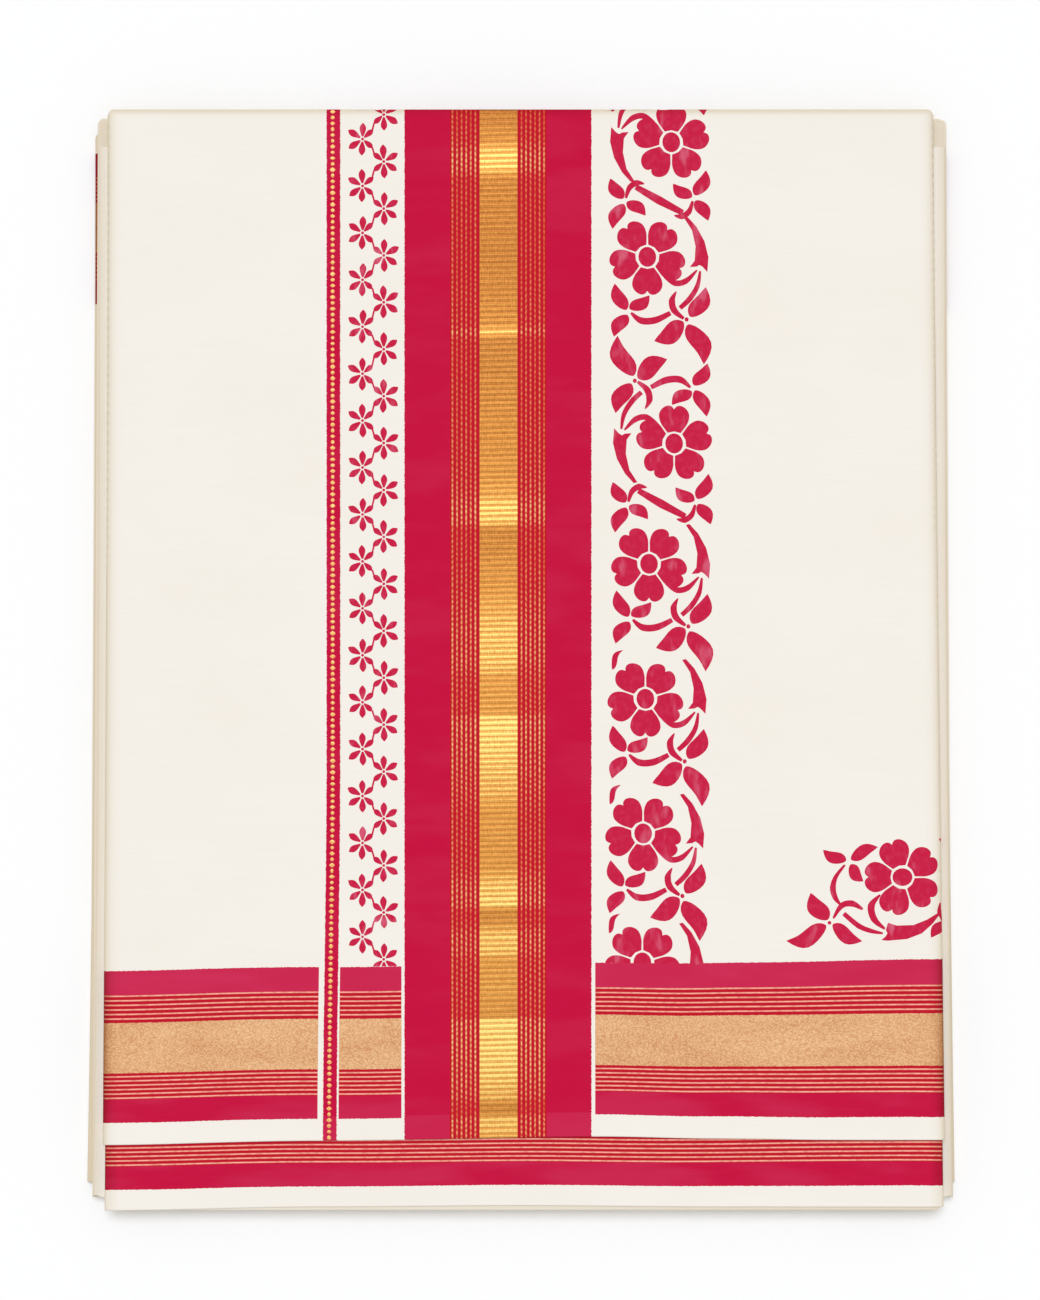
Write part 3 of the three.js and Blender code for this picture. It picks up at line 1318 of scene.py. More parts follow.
@dataclass(frozen=True)
class SareeCotton:
    """Off-white woven cotton with the saree's woven and printed bands."""

    name: str
    pattern: Pattern
    dyes: Dyes = Dyes()
    border: BorderBands = BorderBands()
    pallu: PalluBands = PalluBands()
    rib_pitch: float = 2.9
    fine_pitch: float = 0.97
    thread_pitch: float = 0.86
    # Painted highlight on the metal thread: each stop is a place up from the selvedge, and how lit it is
    # painted there
    glints: tuple[Point, ...] = (
        (1, 0.55), (10, 0.85), (13, 0.1), (17, 0.12), (21, 0.6), (36, 0.9), (62, 1.0),
        (64, 0.25), (76, 0.4), (94, 0.4), (98, 0.75), (107, 0.75), (112, 0.3), (120, 0.08),
        (122, 0.9), (132, 0.8), (143, 0.3), (171, 0.3), (183, 0.6), (221, 1.0), (223, 0.35),
        (242, 0.4), (250, 0.75), (268, 0.75), (290, 0.35), (321, 0.15), (323, 0.85), (332, 1.0),
        (338, 0.6), (350, 0.35), (421, 0.15), (423, 0.1),
    )
    far_glints: tuple[Point, ...] = (
        (421, 0.1), (423, 1.0), (426, 0.7), (428, 0.3), (460, 0.12), (505, 0.15), (510, 0.9),
        (518, 0.95), (525, 0.3), (537, 0.1),
    )

    def material(self) -> bpy.types.Material:
        """Builds the finish.

        Returns:
            The material.
        """
        nodes = ClothNodes(self.name)
        height = nodes.woven() + nodes.noise(RUMPLE) * RUMPLE_HEIGHT
        colour = self._cotton(nodes)
        if self.pattern is not Pattern.PLAIN:
            colour, height = self._border(nodes, colour, height)
        if self.pattern is Pattern.PALLU:
            colour, height, metal = self._pallu(nodes, colour, height)
            nodes.tree.links.new((metal * 0.4).socket, nodes.shader.inputs["Metallic"])
            rough = metal * -0.34 + 0.8
            nodes.tree.links.new(rough.socket, nodes.shader.inputs["Roughness"])
        else:
            nodes.set(Roughness=0.82)
        # Painted shade where the cloth goes round a fold
        nodes.coloured(nodes.shaded(colour, self.dyes.fold_shade))
        nodes.bumped(height)
        nodes.set(Sheen_Weight=0.03, Sheen_Roughness=0.4, Specular_IOR_Level=0.12)
        return nodes.material

    def _cotton(self, nodes: ClothNodes) -> bpy.types.NodeSocket:
        """Returns undyed cotton, a little warmer and duller in places."""
        share = nodes.noise(BLOTCHES) * 0.5 + nodes.noise(SLUBS) * 0.3 - 0.22
        return nodes.mixed(share.math("MAXIMUM", 0), self.dyes.cotton, self.dyes.warm_cotton)

    def _dyed(self, nodes: ClothNodes, colour: Colour, seed: float, most: float) -> bpy.types.NodeSocket:
        """Adds a dye that has taken unevenly.

        Args:
            nodes: The material.
            colour: The dye.
            seed: Seed of the unevenness.
            most: The most that it can fade.

        Returns:
            The dyed colour.
        """
        patchy = nodes.noise(DYE_PATCHES, seed).rise(0.4, 0.7) * most
        streaks = nodes.noise(DYE_STREAKS, seed) * 0.45 * most
        return nodes.mixed(patchy + streaks, colour, self.dyes.rose)

    def _matte_gold(self, nodes: ClothNodes) -> tuple[bpy.types.NodeSocket, Wire]:
        """Adds the border's crinkled gold thread.

        Args:
            nodes: The material.

        Returns:
            The colour, and how far the thread stands out.
        """
        threads = (nodes.noise(CRINKLE) * 34.0).math("SINE") * 0.5 + 0.5
        tone = threads * 0.5 + nodes.noise(GOLD_CLOUDS) * 0.5
        return nodes.mixed(tone, self.dyes.matte_gold, self.dyes.matte_gold_light), threads

    def _border(
        self, nodes: ClothNodes, under: bpy.types.NodeSocket, height: Wire
    ) -> tuple[bpy.types.NodeSocket, Wire]:
        """Lays the border over the cotton.

        Args:
            nodes: The material.
            under: Colour so far.
            height: Height so far.

        Returns:
            The colour and the height with the border.
        """
        bands = self.border
        widened = nodes.along.rise(*bands.widens) * -bands.widening + 1
        level = nodes.up * widened + (nodes.noise(BORDER_SWAY) - 0.5) * bands.sway + bands.lower
        up = level + nodes.jag(nodes.along, bands.thread, bands.jag, 3.0)
        inside = up.between(*bands.ground)
        if self.pattern is Pattern.PALLU:
            clear = self._straight(nodes).between(*self.pallu.stripe_clear)
            across = nodes.along.between(*self.pallu.clear)
            inside = inside * (clear * -1 + 1) * (across * -1 + 1)
        colour = nodes.mixed(inside, under, self.dyes.red_ground)
        upper = up.between(*bands.crimson[1])
        printed = up.between(*bands.crimson[0]).math("MAXIMUM", upper) * inside
        crimson = self._dyed(nodes, self.dyes.crimson, 12.0, bands.uneven_dye)
        dyed = nodes.mixed(upper * bands.upper_fade, crimson, self.dyes.rose)
        colour = nodes.mixed(printed, colour, dyed)
        lines = bands.lines.on(level) * inside
        broken = nodes.noise(BREAKS).rise(0.3, 0.6) * 0.42 + 0.56
        colour = nodes.mixed(lines * broken, colour, self.dyes.thread_gold)
        gold, threads = self._matte_gold(nodes)
        woven = up.between(*bands.gold) * inside
        colour = nodes.mixed(woven, colour, gold)
        # Painted shade, deeper on the dyed bands, where they go round a fold
        colour = nodes.shaded(colour, self.dyes.dyed_fold_shade, inside)
        return colour, height + lines * 0.5 + woven * threads * 0.35

    def _straight(self, nodes: ClothNodes) -> Wire:
        """Returns the place along the saree, following the dotted stripe as it drifts."""
        drift = nodes.up.rise(0.0, self.pallu.drift_starts) * -self.pallu.stripe_drift
        return nodes.along + drift + self.pallu.stripe_drift

    def _pallu(
        self, nodes: ClothNodes, under: bpy.types.NodeSocket, height: Wire
    ) -> tuple[bpy.types.NodeSocket, Wire, Wire]:
        """Lays the dotted stripe and the broad band over the cloth.

        Args:
            nodes: The material.
            under: Colour so far.
            height: Height so far.

        Returns:
            The colour, the height, and how much of the surface is metal thread.
        """
        bands, dyes = self.pallu, self.dyes
        jag = nodes.jag(nodes.up, bands.thread, bands.jag, 1.0)
        along = nodes.along + jag
        stripe = (self._straight(nodes) + jag).between(*bands.stripe)
        band = along.between(*bands.band)
        hem = nodes.up.rise(*bands.hem) * bands.hem_fade
        dyed = nodes.mixed(hem, self._dyed(nodes, dyes.crimson, 41.0, bands.uneven_dye), dyes.rose)
        colour = nodes.mixed(stripe.math("MAXIMUM", band), under, dyed)
        colour = nodes.mixed(along.between(*bands.ground), colour, dyes.red_ground)
        lines = bands.lines.on(nodes.along)
        # Painted highlight: lit and dull stretches along the broad band, which lighten its gold and its
        # fine lines
        near = nodes.ramp(nodes.up, self.glints, 0.0, bands.length)
        glint = near.math("MAXIMUM", nodes.ramp(nodes.up, self.far_glints, 0.0, bands.length))
        thread, cover = self._line_thread(nodes, glint)
        colour = nodes.mixed(lines * cover, colour, thread)
        gold = nodes.along.between(*bands.gold, 0.3)
        zari, ribs = self._zari(nodes, glint)
        colour = nodes.mixed(gold, colour, zari)
        height = height * (gold * -0.7 + 1) + gold * ribs * 1.3 + lines * 0.6
        return colour, height, gold + lines * 0.3

    def _line_thread(self, nodes: ClothNodes, glint: Wire) -> tuple[bpy.types.NodeSocket, Wire]:
        """Returns the gold thread of the broad band's fine lines, and how much it covers; both grow with
        the painted highlight.

        Args:
            nodes: The material.
            glint: How much painted highlight each stretch of it takes.

        Returns:
            The colour and the share of the cloth that it covers.
        """
        start, pitch = self.pallu.lines.groups[0]
        which = ((nodes.along - start) / pitch).math("ROUND")
        beat = nodes.up * (FULL_TURN / self.rib_pitch) + which * 2.3 + nodes.noise(LINE_BEAT) * 9.0
        picks = beat.math("SINE") * 0.42 + nodes.noise(LINE_PICKS) * 1.2
        tone = (which * 2.7 + 1.0).math("SINE") * 0.12 + glint * 0.6 + picks * 0.46 - 0.34
        cover = picks.rise(0.1, 0.8) * (glint * 0.3 + 0.4) + glint * 0.06 + 0.38
        return nodes.mixed(tone, self.dyes.thread_orange, self.dyes.thread_cream), cover

    def _zari(self, nodes: ClothNodes, glint: Wire) -> tuple[bpy.types.NodeSocket, Wire]:
        """Returns the ribbed gold thread of the broad band, with painted highlights and painted shade, and
        its ribs' height.

        Args:
            nodes: The material.
            glint: How much painted highlight each stretch of it takes.

        Returns:
            The colour and the height.
        """
        level = nodes.up + (nodes.noise(RIB_SWAY) - 0.5) * 0.5
        ribs, fine = level.ribbed(self.rib_pitch), level.ribbed(self.fine_pitch)
        floats = nodes.noise(FLOATS) + nodes.along.ribbed(self.thread_pitch) * 0.22
        body = ribs * (glint * 0.5 + 0.1) + fine * 0.26 + floats * 0.62 + nodes.noise(ROWS) * 0.45
        # Painted shade: the gold grows darker towards the far end
        duller = nodes.up.rise(200.0, 400.0) * -0.15
        shade = glint * 0.5 + body * 0.85 + duller - 0.47
        mellow = nodes.mixed(shade.rise(-0.1, 0.6), self.dyes.zari_deep, self.dyes.zari)
        return nodes.mixed(shade.rise(0.5, 1.1), mellow, self.dyes.zari_bright), ribs * 0.5 + floats * 0.4


@dataclass(frozen=True)
class PrintedCotton:
    """Cotton block-printed crimson, thinner in places where the block bore down lightly."""

    name: str = "crimson_print"
    dyes: Dyes = Dyes()

    def material(self) -> bpy.types.Material:
        """Builds the finish.

        Returns:
            The material.
        """
        nodes = ClothNodes(self.name)
        rubbed = nodes.noise(RUBBED).rise(0.56, 0.78) * 0.6
        pale = nodes.mixed(rubbed, self.dyes.print, self.dyes.faded)
        mottle = nodes.noise(MOTTLE).rise(0.42, 0.7) * 0.4
        # Painted shade where the print goes round a fold
        nodes.coloured(nodes.shaded(nodes.mixed(mottle, pale, self.dyes.rose), self.dyes.fold_shade))
        nodes.bumped(nodes.woven())
        nodes.set(Roughness=0.8, Sheen_Weight=0.04, Sheen_Roughness=0.4, Specular_IOR_Level=0.18)
        return nodes.material


@dataclass(frozen=True)
class GoldDot:
    """Raised gold thread, flecked with bright gold and brown."""

    name: str = "gold_dot"
    dyes: Dyes = Dyes()
    depth: float = 0.1

    def material(self) -> bpy.types.Material:
        """Builds the finish.

        Returns:
            The material.
        """
        nodes = ClothNodes(self.name)
        picks = nodes.noise(DOT_PICKS)
        nodes.coloured(nodes.mixed(picks.rise(0.3, 0.7), self.dyes.dot_foot, self.dyes.dot_crown))
        nodes.bumped(picks, self.depth)
        nodes.set(Roughness=0.48, Metallic=0.35, Specular_IOR_Level=0.4)
        return nodes.material


@dataclass(frozen=True)
class Wardrobe:
    """Every finish of the saree, made once."""

    pallu: bpy.types.Material
    border: bpy.types.Material
    plain: bpy.types.Material
    print: bpy.types.Material
    dot: bpy.types.Material

    @classmethod
    def made(cls) -> "Wardrobe":
        """Builds the finishes.

        Returns:
            The wardrobe.
        """
        return cls(
            SareeCotton("pallu_cotton", Pattern.PALLU).material(),
            SareeCotton("border_cotton", Pattern.BORDER, border=BorderBands(lower=0.7)).material(),
            SareeCotton("plain_cotton", Pattern.PLAIN).material(),
            PrintedCotton().material(),
            GoldDot().material(),
        )


# The stretches of cloth


@dataclass
class PalluFront:
    """The pallu's outer half: from its selvedge over the lengthwise fold, and round both sides."""

    turn: Turn
    selvedge: float
    fold_radius: float
    wander: Wander
    relief: Relief
    thickness: float = 0.5
    tuck: float = 12.0
    side_reach: float = 51.0
    column_step: float = 5.0
    row_step: float = 5.0
    bend_steps: int = 8
    tails: tuple[float, ...] = (4.0, 12.0, 24.0)
    before_fold: tuple[float, ...] = (-3.0, -1.2)
    near_rows: tuple[float, ...] = (0.0, 0.0012, 0.0035)
    last_rows: tuple[float, ...] = (0.996, 1.0)
    flattens_over: float = 12.0
    hem_reach: float = 7.0
    hem_lift: Point = (0.35, 0.3)
    hem_waves: Point = (17.0, 43.0)
    far_shade: Point = (2.5, 3.5)

    def edge(self, along: Array) -> Array:
        """Returns the y of the selvedge."""
        return self.selvedge - self.wander.offset(along)

    def flat_run(self, along: Array) -> Array:
        """Returns how much cloth lies between the selvedge and the lengthwise fold."""
        bend = self.turn.far - self.fold_radius - self.turn.corner_cut(along)
        return bend - self.edge(along)

    def surface(self, along: Array, up: Array, inset: float) -> Array:
        """Places flat cloth on the turn.

        Args:
            along: Place along the saree.
            up: Place from the selvedge.
            inset: Depth inside the cloth's outer face.

        Returns:
            Points in millimetres.
        """
        run = self.flat_run(along)
        radius = self.fold_radius
        past = np.maximum(up - run, 0)
        bend = np.clip(past / radius, 0, math.pi)
        back = np.maximum(past - math.pi * radius, 0)
        y = self.edge(along) + np.minimum(up, run) + (radius - inset) * np.sin(bend) - back
        depth = radius - (radius - inset) * np.cos(bend)
        fade = np.clip((run - up) / self.flattens_over, 0, 1) * np.cos(bend / 2)
        waves = np.sin(along / self.hem_waves[0]) * np.sin(along / self.hem_waves[1] + 1)
        hem = np.exp(-up / self.hem_reach) * (self.hem_lift[0] + self.hem_lift[1] * waves)
        lift = (self.relief.height(along, y) + hem) * fade
        return self.turn.wrap(along, y, depth, lift)

    def columns(self, y: float) -> Array:
        """Places the grid's columns for one row.

        Args:
            y: The row's place from near to far.

        Returns:
            Places along the saree.
        """
        left, right = self.turn.edges(np.array(y))
        arc = math.pi * self.turn.half
        bends = np.linspace(0, arc, self.bend_steps + 1)
        tails = arc + np.array([*self.tails, self.side_reach])
        outward = np.concatenate([self.before_fold, bends, tails])
        inner = self.turn.face_places(y, self.column_step)
        return np.concatenate([left - outward[::-1], inner, right + outward])

    def rows(self) -> list[tuple[float, float]]:
        """Places the grid's rows.

        Returns:
            For each row, a share of the flat run and a length past it.
        """
        count = int((self.turn.far - self.selvedge) / self.row_step)
        middle = [i / count for i in range(1, count)]
        flat = [(share, 0.0) for share in (*self.near_rows, *middle, *self.last_rows)]
        arc = math.pi * self.fold_radius
        bends = [arc * i / self.bend_steps for i in range(1, self.bend_steps + 1)]
        return flat + [(1.0, past) for past in (*bends, arc + self.tuck / 2, arc + self.tuck)]

    def shell(self) -> Shell:
        """Builds the sheet, with the prints cut into it as faces of their own.

        Returns:
            The sheet.
        """
        flat = []
        for share, past in self.rows():
            y = self.selvedge + share * (self.turn.far - self.selvedge)
            along = self.columns(y)
            up = self.flat_run(along) * share + past
            flat.append(np.stack([along, up], -1))
        rows, columns = len(flat), len(flat[0])
        points = np.concatenate(flat)
        _, rim = grid_faces(rows, columns)
        coords = [Vector(p) for p in points]
        regions: list[list[int]] = [rim]
        top = float(points[:, 1].max())
        for outline in PrintLayout().outlines():
            kept = [(x, -up) for x, up in clipped([(x, -up) for x, up in outline], INSIDE_EDGE - top)]
            if len(kept) > 2:
                regions.append(list(range(len(coords), len(coords) + len(kept))))
                coords += [Vector(p) for p in kept]
        verts, _, faces, _, _, owners = delaunay_2d_cdt(coords, [], regions, 1, SAME_POINT, True)
        flat_points = np.array([tuple(v) for v in verts])
        kept_faces, inked = [], []
        for face, owner in zip(faces, owners):
            if 0 in owner:
                kept_faces.append(tuple(face))
                inked.append(any(region > 0 for region in owner))
        along, up = flat_points.T
        outer = self.surface(along, up, 0.0)
        inner = self.surface(along, up, self.thickness)
        # Painted shade over the lengthwise fold, joined to that of the side folds
        far = np.clip((up - self.flat_run(along) + self.far_shade[0]) / self.far_shade[1], 0, 1)
        fold_shading = np.maximum(self.turn.fold_shading(along, outer[:, 1]), far)
        return Shell(outer, inner, flat_points, fold_shading, kept_faces, edge_loop(kept_faces), inked)

    def build(self, wardrobe: Wardrobe) -> bpy.types.Object:
        """Makes the piece."""
        mesh = self.shell().mesh("pallu_front")
        return place_object(mesh, "pallu_front", [wardrobe.pallu, wardrobe.print])


def edge_loop(faces: Sequence[tuple[int, ...]]) -> list[int]:
    """Finds the loop of points round the edge of a patch.

    Args:
        faces: The patch's faces.

    Returns:
        The points' numbers, in order.
    """
    follows: dict[int, int] = {}
    pairs = {(a, b) for face in faces for a, b in zip(face, face[1:] + face[:1])}
    for a, b in pairs:
        if (b, a) not in pairs:
            follows[a] = b
    start = next(iter(follows))
    loop = [start]
    while follows[loop[-1]] != start:
        loop.append(follows[loop[-1]])
    return loop


@dataclass
class Layer:
    """A single layer of cloth that goes round a turn, or round one of its sides."""

    name: str
    turn: Turn
    depth: float
    near: float
    far: float
    wander: Wander | None = None
    relief: Relief = Relief()
    sides: tuple[Side, ...] = (Side.LEFT, Side.RIGHT)
    side_reach: float = 40.0
    thickness: float = 0.5
    from_far: bool = False
    near_rounding: float = 0.7
    row_step: float = 6.0
    column_step: float = 8.0
    first_rows: tuple[float, ...] = (0.0, 0.6, 2.0, 4.0)
    row_gap: float = 3.0
    first_tail: float = 4.0
    end_share: float = 0.025

    def columns(self, y: float) -> Array:
        """Places the grid's columns for one row.

        Args:
            y: The row's place from near to far.

        Returns:
            Places along the saree.
        """
        left, right = self.turn.edges(np.array(y))
        arc = math.pi * self.turn.half
        tails = np.linspace(self.first_tail, self.side_reach, 5)
        outward = np.concatenate([np.linspace(0, arc, 9), arc + tails])
        short = -np.linspace(self.side_reach, self.first_tail, 6)
        if self.sides == (Side.LEFT,):
            return left - np.concatenate([short, outward])[::-1]
        if self.sides == (Side.RIGHT,):
            return right + np.concatenate([short, outward])
        inner = self.turn.face_places(y, self.column_step)
        return np.concatenate([left - outward[::-1], inner, right + outward])

    def rows(self) -> Array:
        """Places the grid's rows.

        Returns:
            Their distances from the near end.
        """
        length = self.far - self.near
        ends = np.array(self.first_rows)
        first = ends[-1] + self.row_gap
        middle = np.linspace(first, length - first, int(length / self.row_step))
        return np.concatenate([ends, middle, length - ends[::-1]])

    def shell(self) -> Shell:
        """Builds the sheet.

        Returns:
            The sheet.
        """
        length = self.far - self.near
        ups = self.rows()
        flat, outer, inner, fold_shading = [], [], [], []
        for up in ups:
            along = self.columns(self.near + up)
            cut = self.turn.corner_cut(along)
            share = up / length
            nearer = self.wander.offset(along) if self.wander else cut * self.near_rounding
            y_near = self.near - nearer if self.wander else self.near + nearer
            y = y_near + (self.far - cut - y_near) * share
            ends = min(share / self.end_share, 1) * min((1 - share) / self.end_share, 1)
            lift = self.relief.height(along, y) * ends
            outer.append(self.turn.wrap(along, y, np.full_like(y, self.depth), lift))
            inner.append(self.turn.wrap(along, y, np.full_like(y, self.depth + self.thickness), lift))
            flat.append(np.stack([along, (self.far - y) if self.from_far else (y - y_near)], -1))
            # Painted shade near the side folds
            fold_shading.append(self.turn.fold_shading(along, y))
        faces, rim = grid_faces(len(ups), len(flat[0]))
        shell = Shell(*map(np.concatenate, (outer, inner, flat, fold_shading)), faces, rim)
        if not self.turn.broad_side_up:
            shell.faces = [tuple(reversed(face)) for face in faces]
            shell.rim = rim[::-1]
        return shell

    def build(self, finish: bpy.types.Material) -> bpy.types.Object:
        """Makes the piece."""
        return place_object(self.shell().mesh(self.name), self.name, [finish])


class GrowthNodes:
    """Builds a node group that puts objects on points."""

    def __init__(self, name: str, inputs: dict[str, str]) -> None:
        """Starts the group with geometry in and out, a finish, and inputs of its own.

        Args:
            name: The group's name.
            inputs: The kind of each input, by name.
        """
        self.tree = bpy.data.node_groups.new(name, "GeometryNodeTree")
        self.new, self.link = self.tree.nodes.new, self.tree.links.new
        self.tree.interface.new_socket(name="Geometry", socket_type="NodeSocketGeometry", in_out="OUTPUT")
        for label, kind in {"Geometry": "Geometry", **inputs, "Finish": "Material"}.items():
            self.tree.interface.new_socket(name=label, socket_type=f"NodeSocket{kind}", in_out="INPUT")
        self.start = self.new("NodeGroupInput")

    def given(self, label: str, socket: bpy.types.NodeSocket) -> None:
        """Feeds one of the group's inputs to a socket."""
        self.link(self.start.outputs[label], socket)

    def placed(self, points: bpy.types.NodeSocket, label: str) -> bpy.types.Node:
        """Puts an object on points.

        Args:
            points: The points.
            label: The group's input that holds the object.

        Returns:
            The node that makes the instances.
        """
        form, put = self.new("GeometryNodeObjectInfo"), self.new("GeometryNodeInstanceOnPoints")
        form.inputs["As Instance"].default_value = True
        self.given(label, form.inputs["Object"])
        self.link(points, put.inputs["Points"])
        self.link(form.outputs["Geometry"], put.inputs["Instance"])
        return put

    def finished(self, grown_parts: bpy.types.NodeSocket) -> bpy.types.NodeTree:
        """Makes the instances real, dresses them in the finish and ends the group.

        Args:
            grown_parts: The instances.

        Returns:
            The finished group.
        """
        real, dressed = self.new("GeometryNodeRealizeInstances"), self.new("GeometryNodeSetMaterial")
        self.link(grown_parts, real.inputs[0])
        self.link(real.outputs[0], dressed.inputs["Geometry"])
        self.given("Finish", dressed.inputs["Material"])
        self.link(dressed.outputs[0], self.new("NodeGroupOutput").inputs[0])
        return self.tree


@dataclass(frozen=True)
class DotForm:
    """A form of dot: how full its foot is, and how wide it is both ways."""

    name: str
    fullness: float
    across: float
    tall: float


ROUND_DOT = DotForm("round_dot", 2.0, 1.0, 1.0)
DIAMOND_DOT = DotForm("diamond_dot", 1.3, 1.36, 1.12)


@dataclass
class GoldDots:
    """The gold dots woven along the crimson stripe, round and diamond-shaped ones in turn."""

    front: PalluFront
    bands: PalluBands = PalluBands()
    pitch: float = 3.05
    radius: float = 1.06
    proud: float = 0.16
    sides: int = 12
    levels: tuple[Point, ...] = ((1.0, -0.6), (1.0, 0.1), (0.8, 0.62), (0.45, 0.92))
    first: float = 1.6
    past_fold: float = 0.7
    uneven: float = 0.14
    seed: int = 4

    def path(self) -> bpy.types.Object:
        """Places a point on the cloth for each dot.

        Returns:
            An object of points alone.
        """
        middle = self.bands.dots_at
        run = float(self.front.flat_run(np.array([middle]))[0])
        ups = np.arange(self.first, run + self.past_fold, self.pitch)
        share = np.clip(ups / self.bands.drift_starts, 0, 1)
        along = middle - self.bands.stripe_drift * (1 - eased(share))
        mesh = bpy.data.meshes.new("dot_places")
        mesh.from_pydata((self.front.surface(along, ups, 0.0) * MM).tolist(), [], [])
        return place_object(mesh, "dot_places")

    def one(self, form: DotForm) -> bpy.types.Object:
        """Builds one dot, a low dome of few faces.

        Args:
            form: The dot's form.

        Returns:
            The dot, at the origin.
        """
        count = self.sides
        ring = []
        for i in range(count):
            c, s = math.cos(FULL_TURN * i / count), math.sin(FULL_TURN * i / count)
            size = (abs(c) ** form.fullness + abs(s) ** form.fullness) ** (1 / form.fullness)
            reach = self.radius * MM / size
            ring.append((c * reach * form.across, s * reach * form.tall))
        verts = [
            (x * share, y * share, rise * self.proud * MM) for share, rise in self.levels for x, y in ring
        ]
        verts += [(0, 0, self.proud * MM), (0, 0, self.levels[0][1] * self.proud * MM)]
        crown, foot = len(verts) - 2, len(verts) - 1
        last = count * (len(self.levels) - 1)
        faces = []
        for i in range(count):
            j = (i + 1) % count
            faces += [(k + i, k + j, k + count + j, k + count + i) for k in range(0, last, count)]
            faces += [(last + i, last + j, crown), (j, i, foot)]
        mesh = bpy.data.meshes.new(form.name)
        mesh.from_pydata(verts, [], faces)
        mesh.shade_smooth()
        return place_object(mesh, form.name)

    def tree(self) -> bpy.types.NodeTree:
        """Builds the group that puts a dot on each point, of two shapes in turn.

        Returns:
            The node group.
        """
        inputs = {"Round": "Object", "Diamond": "Object", "Uneven": "Float", "Seed": "Int"}
        nodes = GrowthNodes("dots_on_points", inputs)
        sizes = nodes.new("FunctionNodeRandomValue")
        sizes.data_type = "FLOAT_VECTOR"
        for operation, limit in (("SUBTRACT", "Min"), ("ADD", "Max")):
            node = nodes.new("ShaderNodeMath")
            node.operation = operation
            node.inputs[0].default_value = 1
            nodes.given("Uneven", node.inputs[1])
            nodes.link(node.outputs[0], sizes.inputs[limit])
        nodes.given("Seed", sizes.inputs["Seed"])
        odd, even = nodes.new("ShaderNodeMath"), nodes.new("ShaderNodeMath")
        odd.operation, even.operation = "MODULO", "SUBTRACT"
        nodes.link(nodes.new("GeometryNodeInputIndex").outputs[0], odd.inputs[0])
        odd.inputs[1].default_value = 2
        even.inputs[0].default_value = 1
        nodes.link(odd.outputs[0], even.inputs[1])
        both = nodes.new("GeometryNodeJoinGeometry")
        for label, chosen in (("Round", even), ("Diamond", odd)):
            put = nodes.placed(nodes.start.outputs["Geometry"], label)
            nodes.link(chosen.outputs[0], put.inputs["Selection"])
            nodes.link(sizes.outputs["Value"], put.inputs["Scale"])
            nodes.link(put.outputs[0], both.inputs[0])
        return nodes.finished(both.outputs[0])

    def build(self, finish: bpy.types.Material) -> bpy.types.Object:
        """Makes the piece.

        Args:
            finish: The dots' material.

        Returns:
            The piece.
        """
        places, plain, diamond = self.path(), self.one(ROUND_DOT), self.one(DIAMOND_DOT)
        values = {
            "Round": plain,
            "Diamond": diamond,
            "Uneven": self.uneven,
            "Seed": self.seed,
            "Finish": finish,
        }
        mesh = grown(places, self.tree(), values, "gold_dots")
        for helper in (places, plain, diamond):
            bpy.data.objects.remove(helper)
        lay_flat_map(mesh)
        return place_object(mesh, "gold_dots")


def grown(
    host: bpy.types.Object, tree: bpy.types.NodeTree, values: dict[str, object], name: str
) -> bpy.types.Mesh:
    """Runs a node group on an object and returns the result as a plain mesh.

    Args:
        host: The object that the group starts from.
        tree: The group.
        values: Its inputs by name.
        name: Name of the mesh.

    Returns:
        The realized mesh, in the object's own coordinates.
    """
    modifier = host.modifiers.new("grow", "NODES")
    modifier.node_group = tree
    for item in tree.interface.items_tree:
        if item.in_out == "INPUT" and item.name in values:
            modifier[item.identifier] = values[item.name]
    evaluated = host.evaluated_get(bpy.context.evaluated_depsgraph_get())
    mesh = bpy.data.meshes.new_from_object(evaluated)
    mesh.name = name
    host.modifiers.remove(modifier)
    return mesh


def lay_flat_map(mesh: bpy.types.Mesh) -> None:
    """Gives a mesh the cloth's map, in metres, straight from above.

    Args:
        mesh: The mesh.
    """
    verts = np.zeros(len(mesh.vertices) * 3, dtype=np.float32)
    mesh.vertices.foreach_get("co", verts)
    lay_map(mesh, CLOTH_MAP, verts.reshape(-1, 3)[corner_points(mesh)][:, :2])


@dataclass(frozen=True)
class LayerGroup:
    """Hidden layers that end at about the same places."""

    bottom: float
    top: float
    count: int
    left: float
    right: float
    near: float
    far: float
    wander: float = 1.2
    flare: float = 0.013

    @property
    def pitch(self) -> float:
        """Height of one layer with the gap above it."""
        return (self.top - self.bottom) / self.count


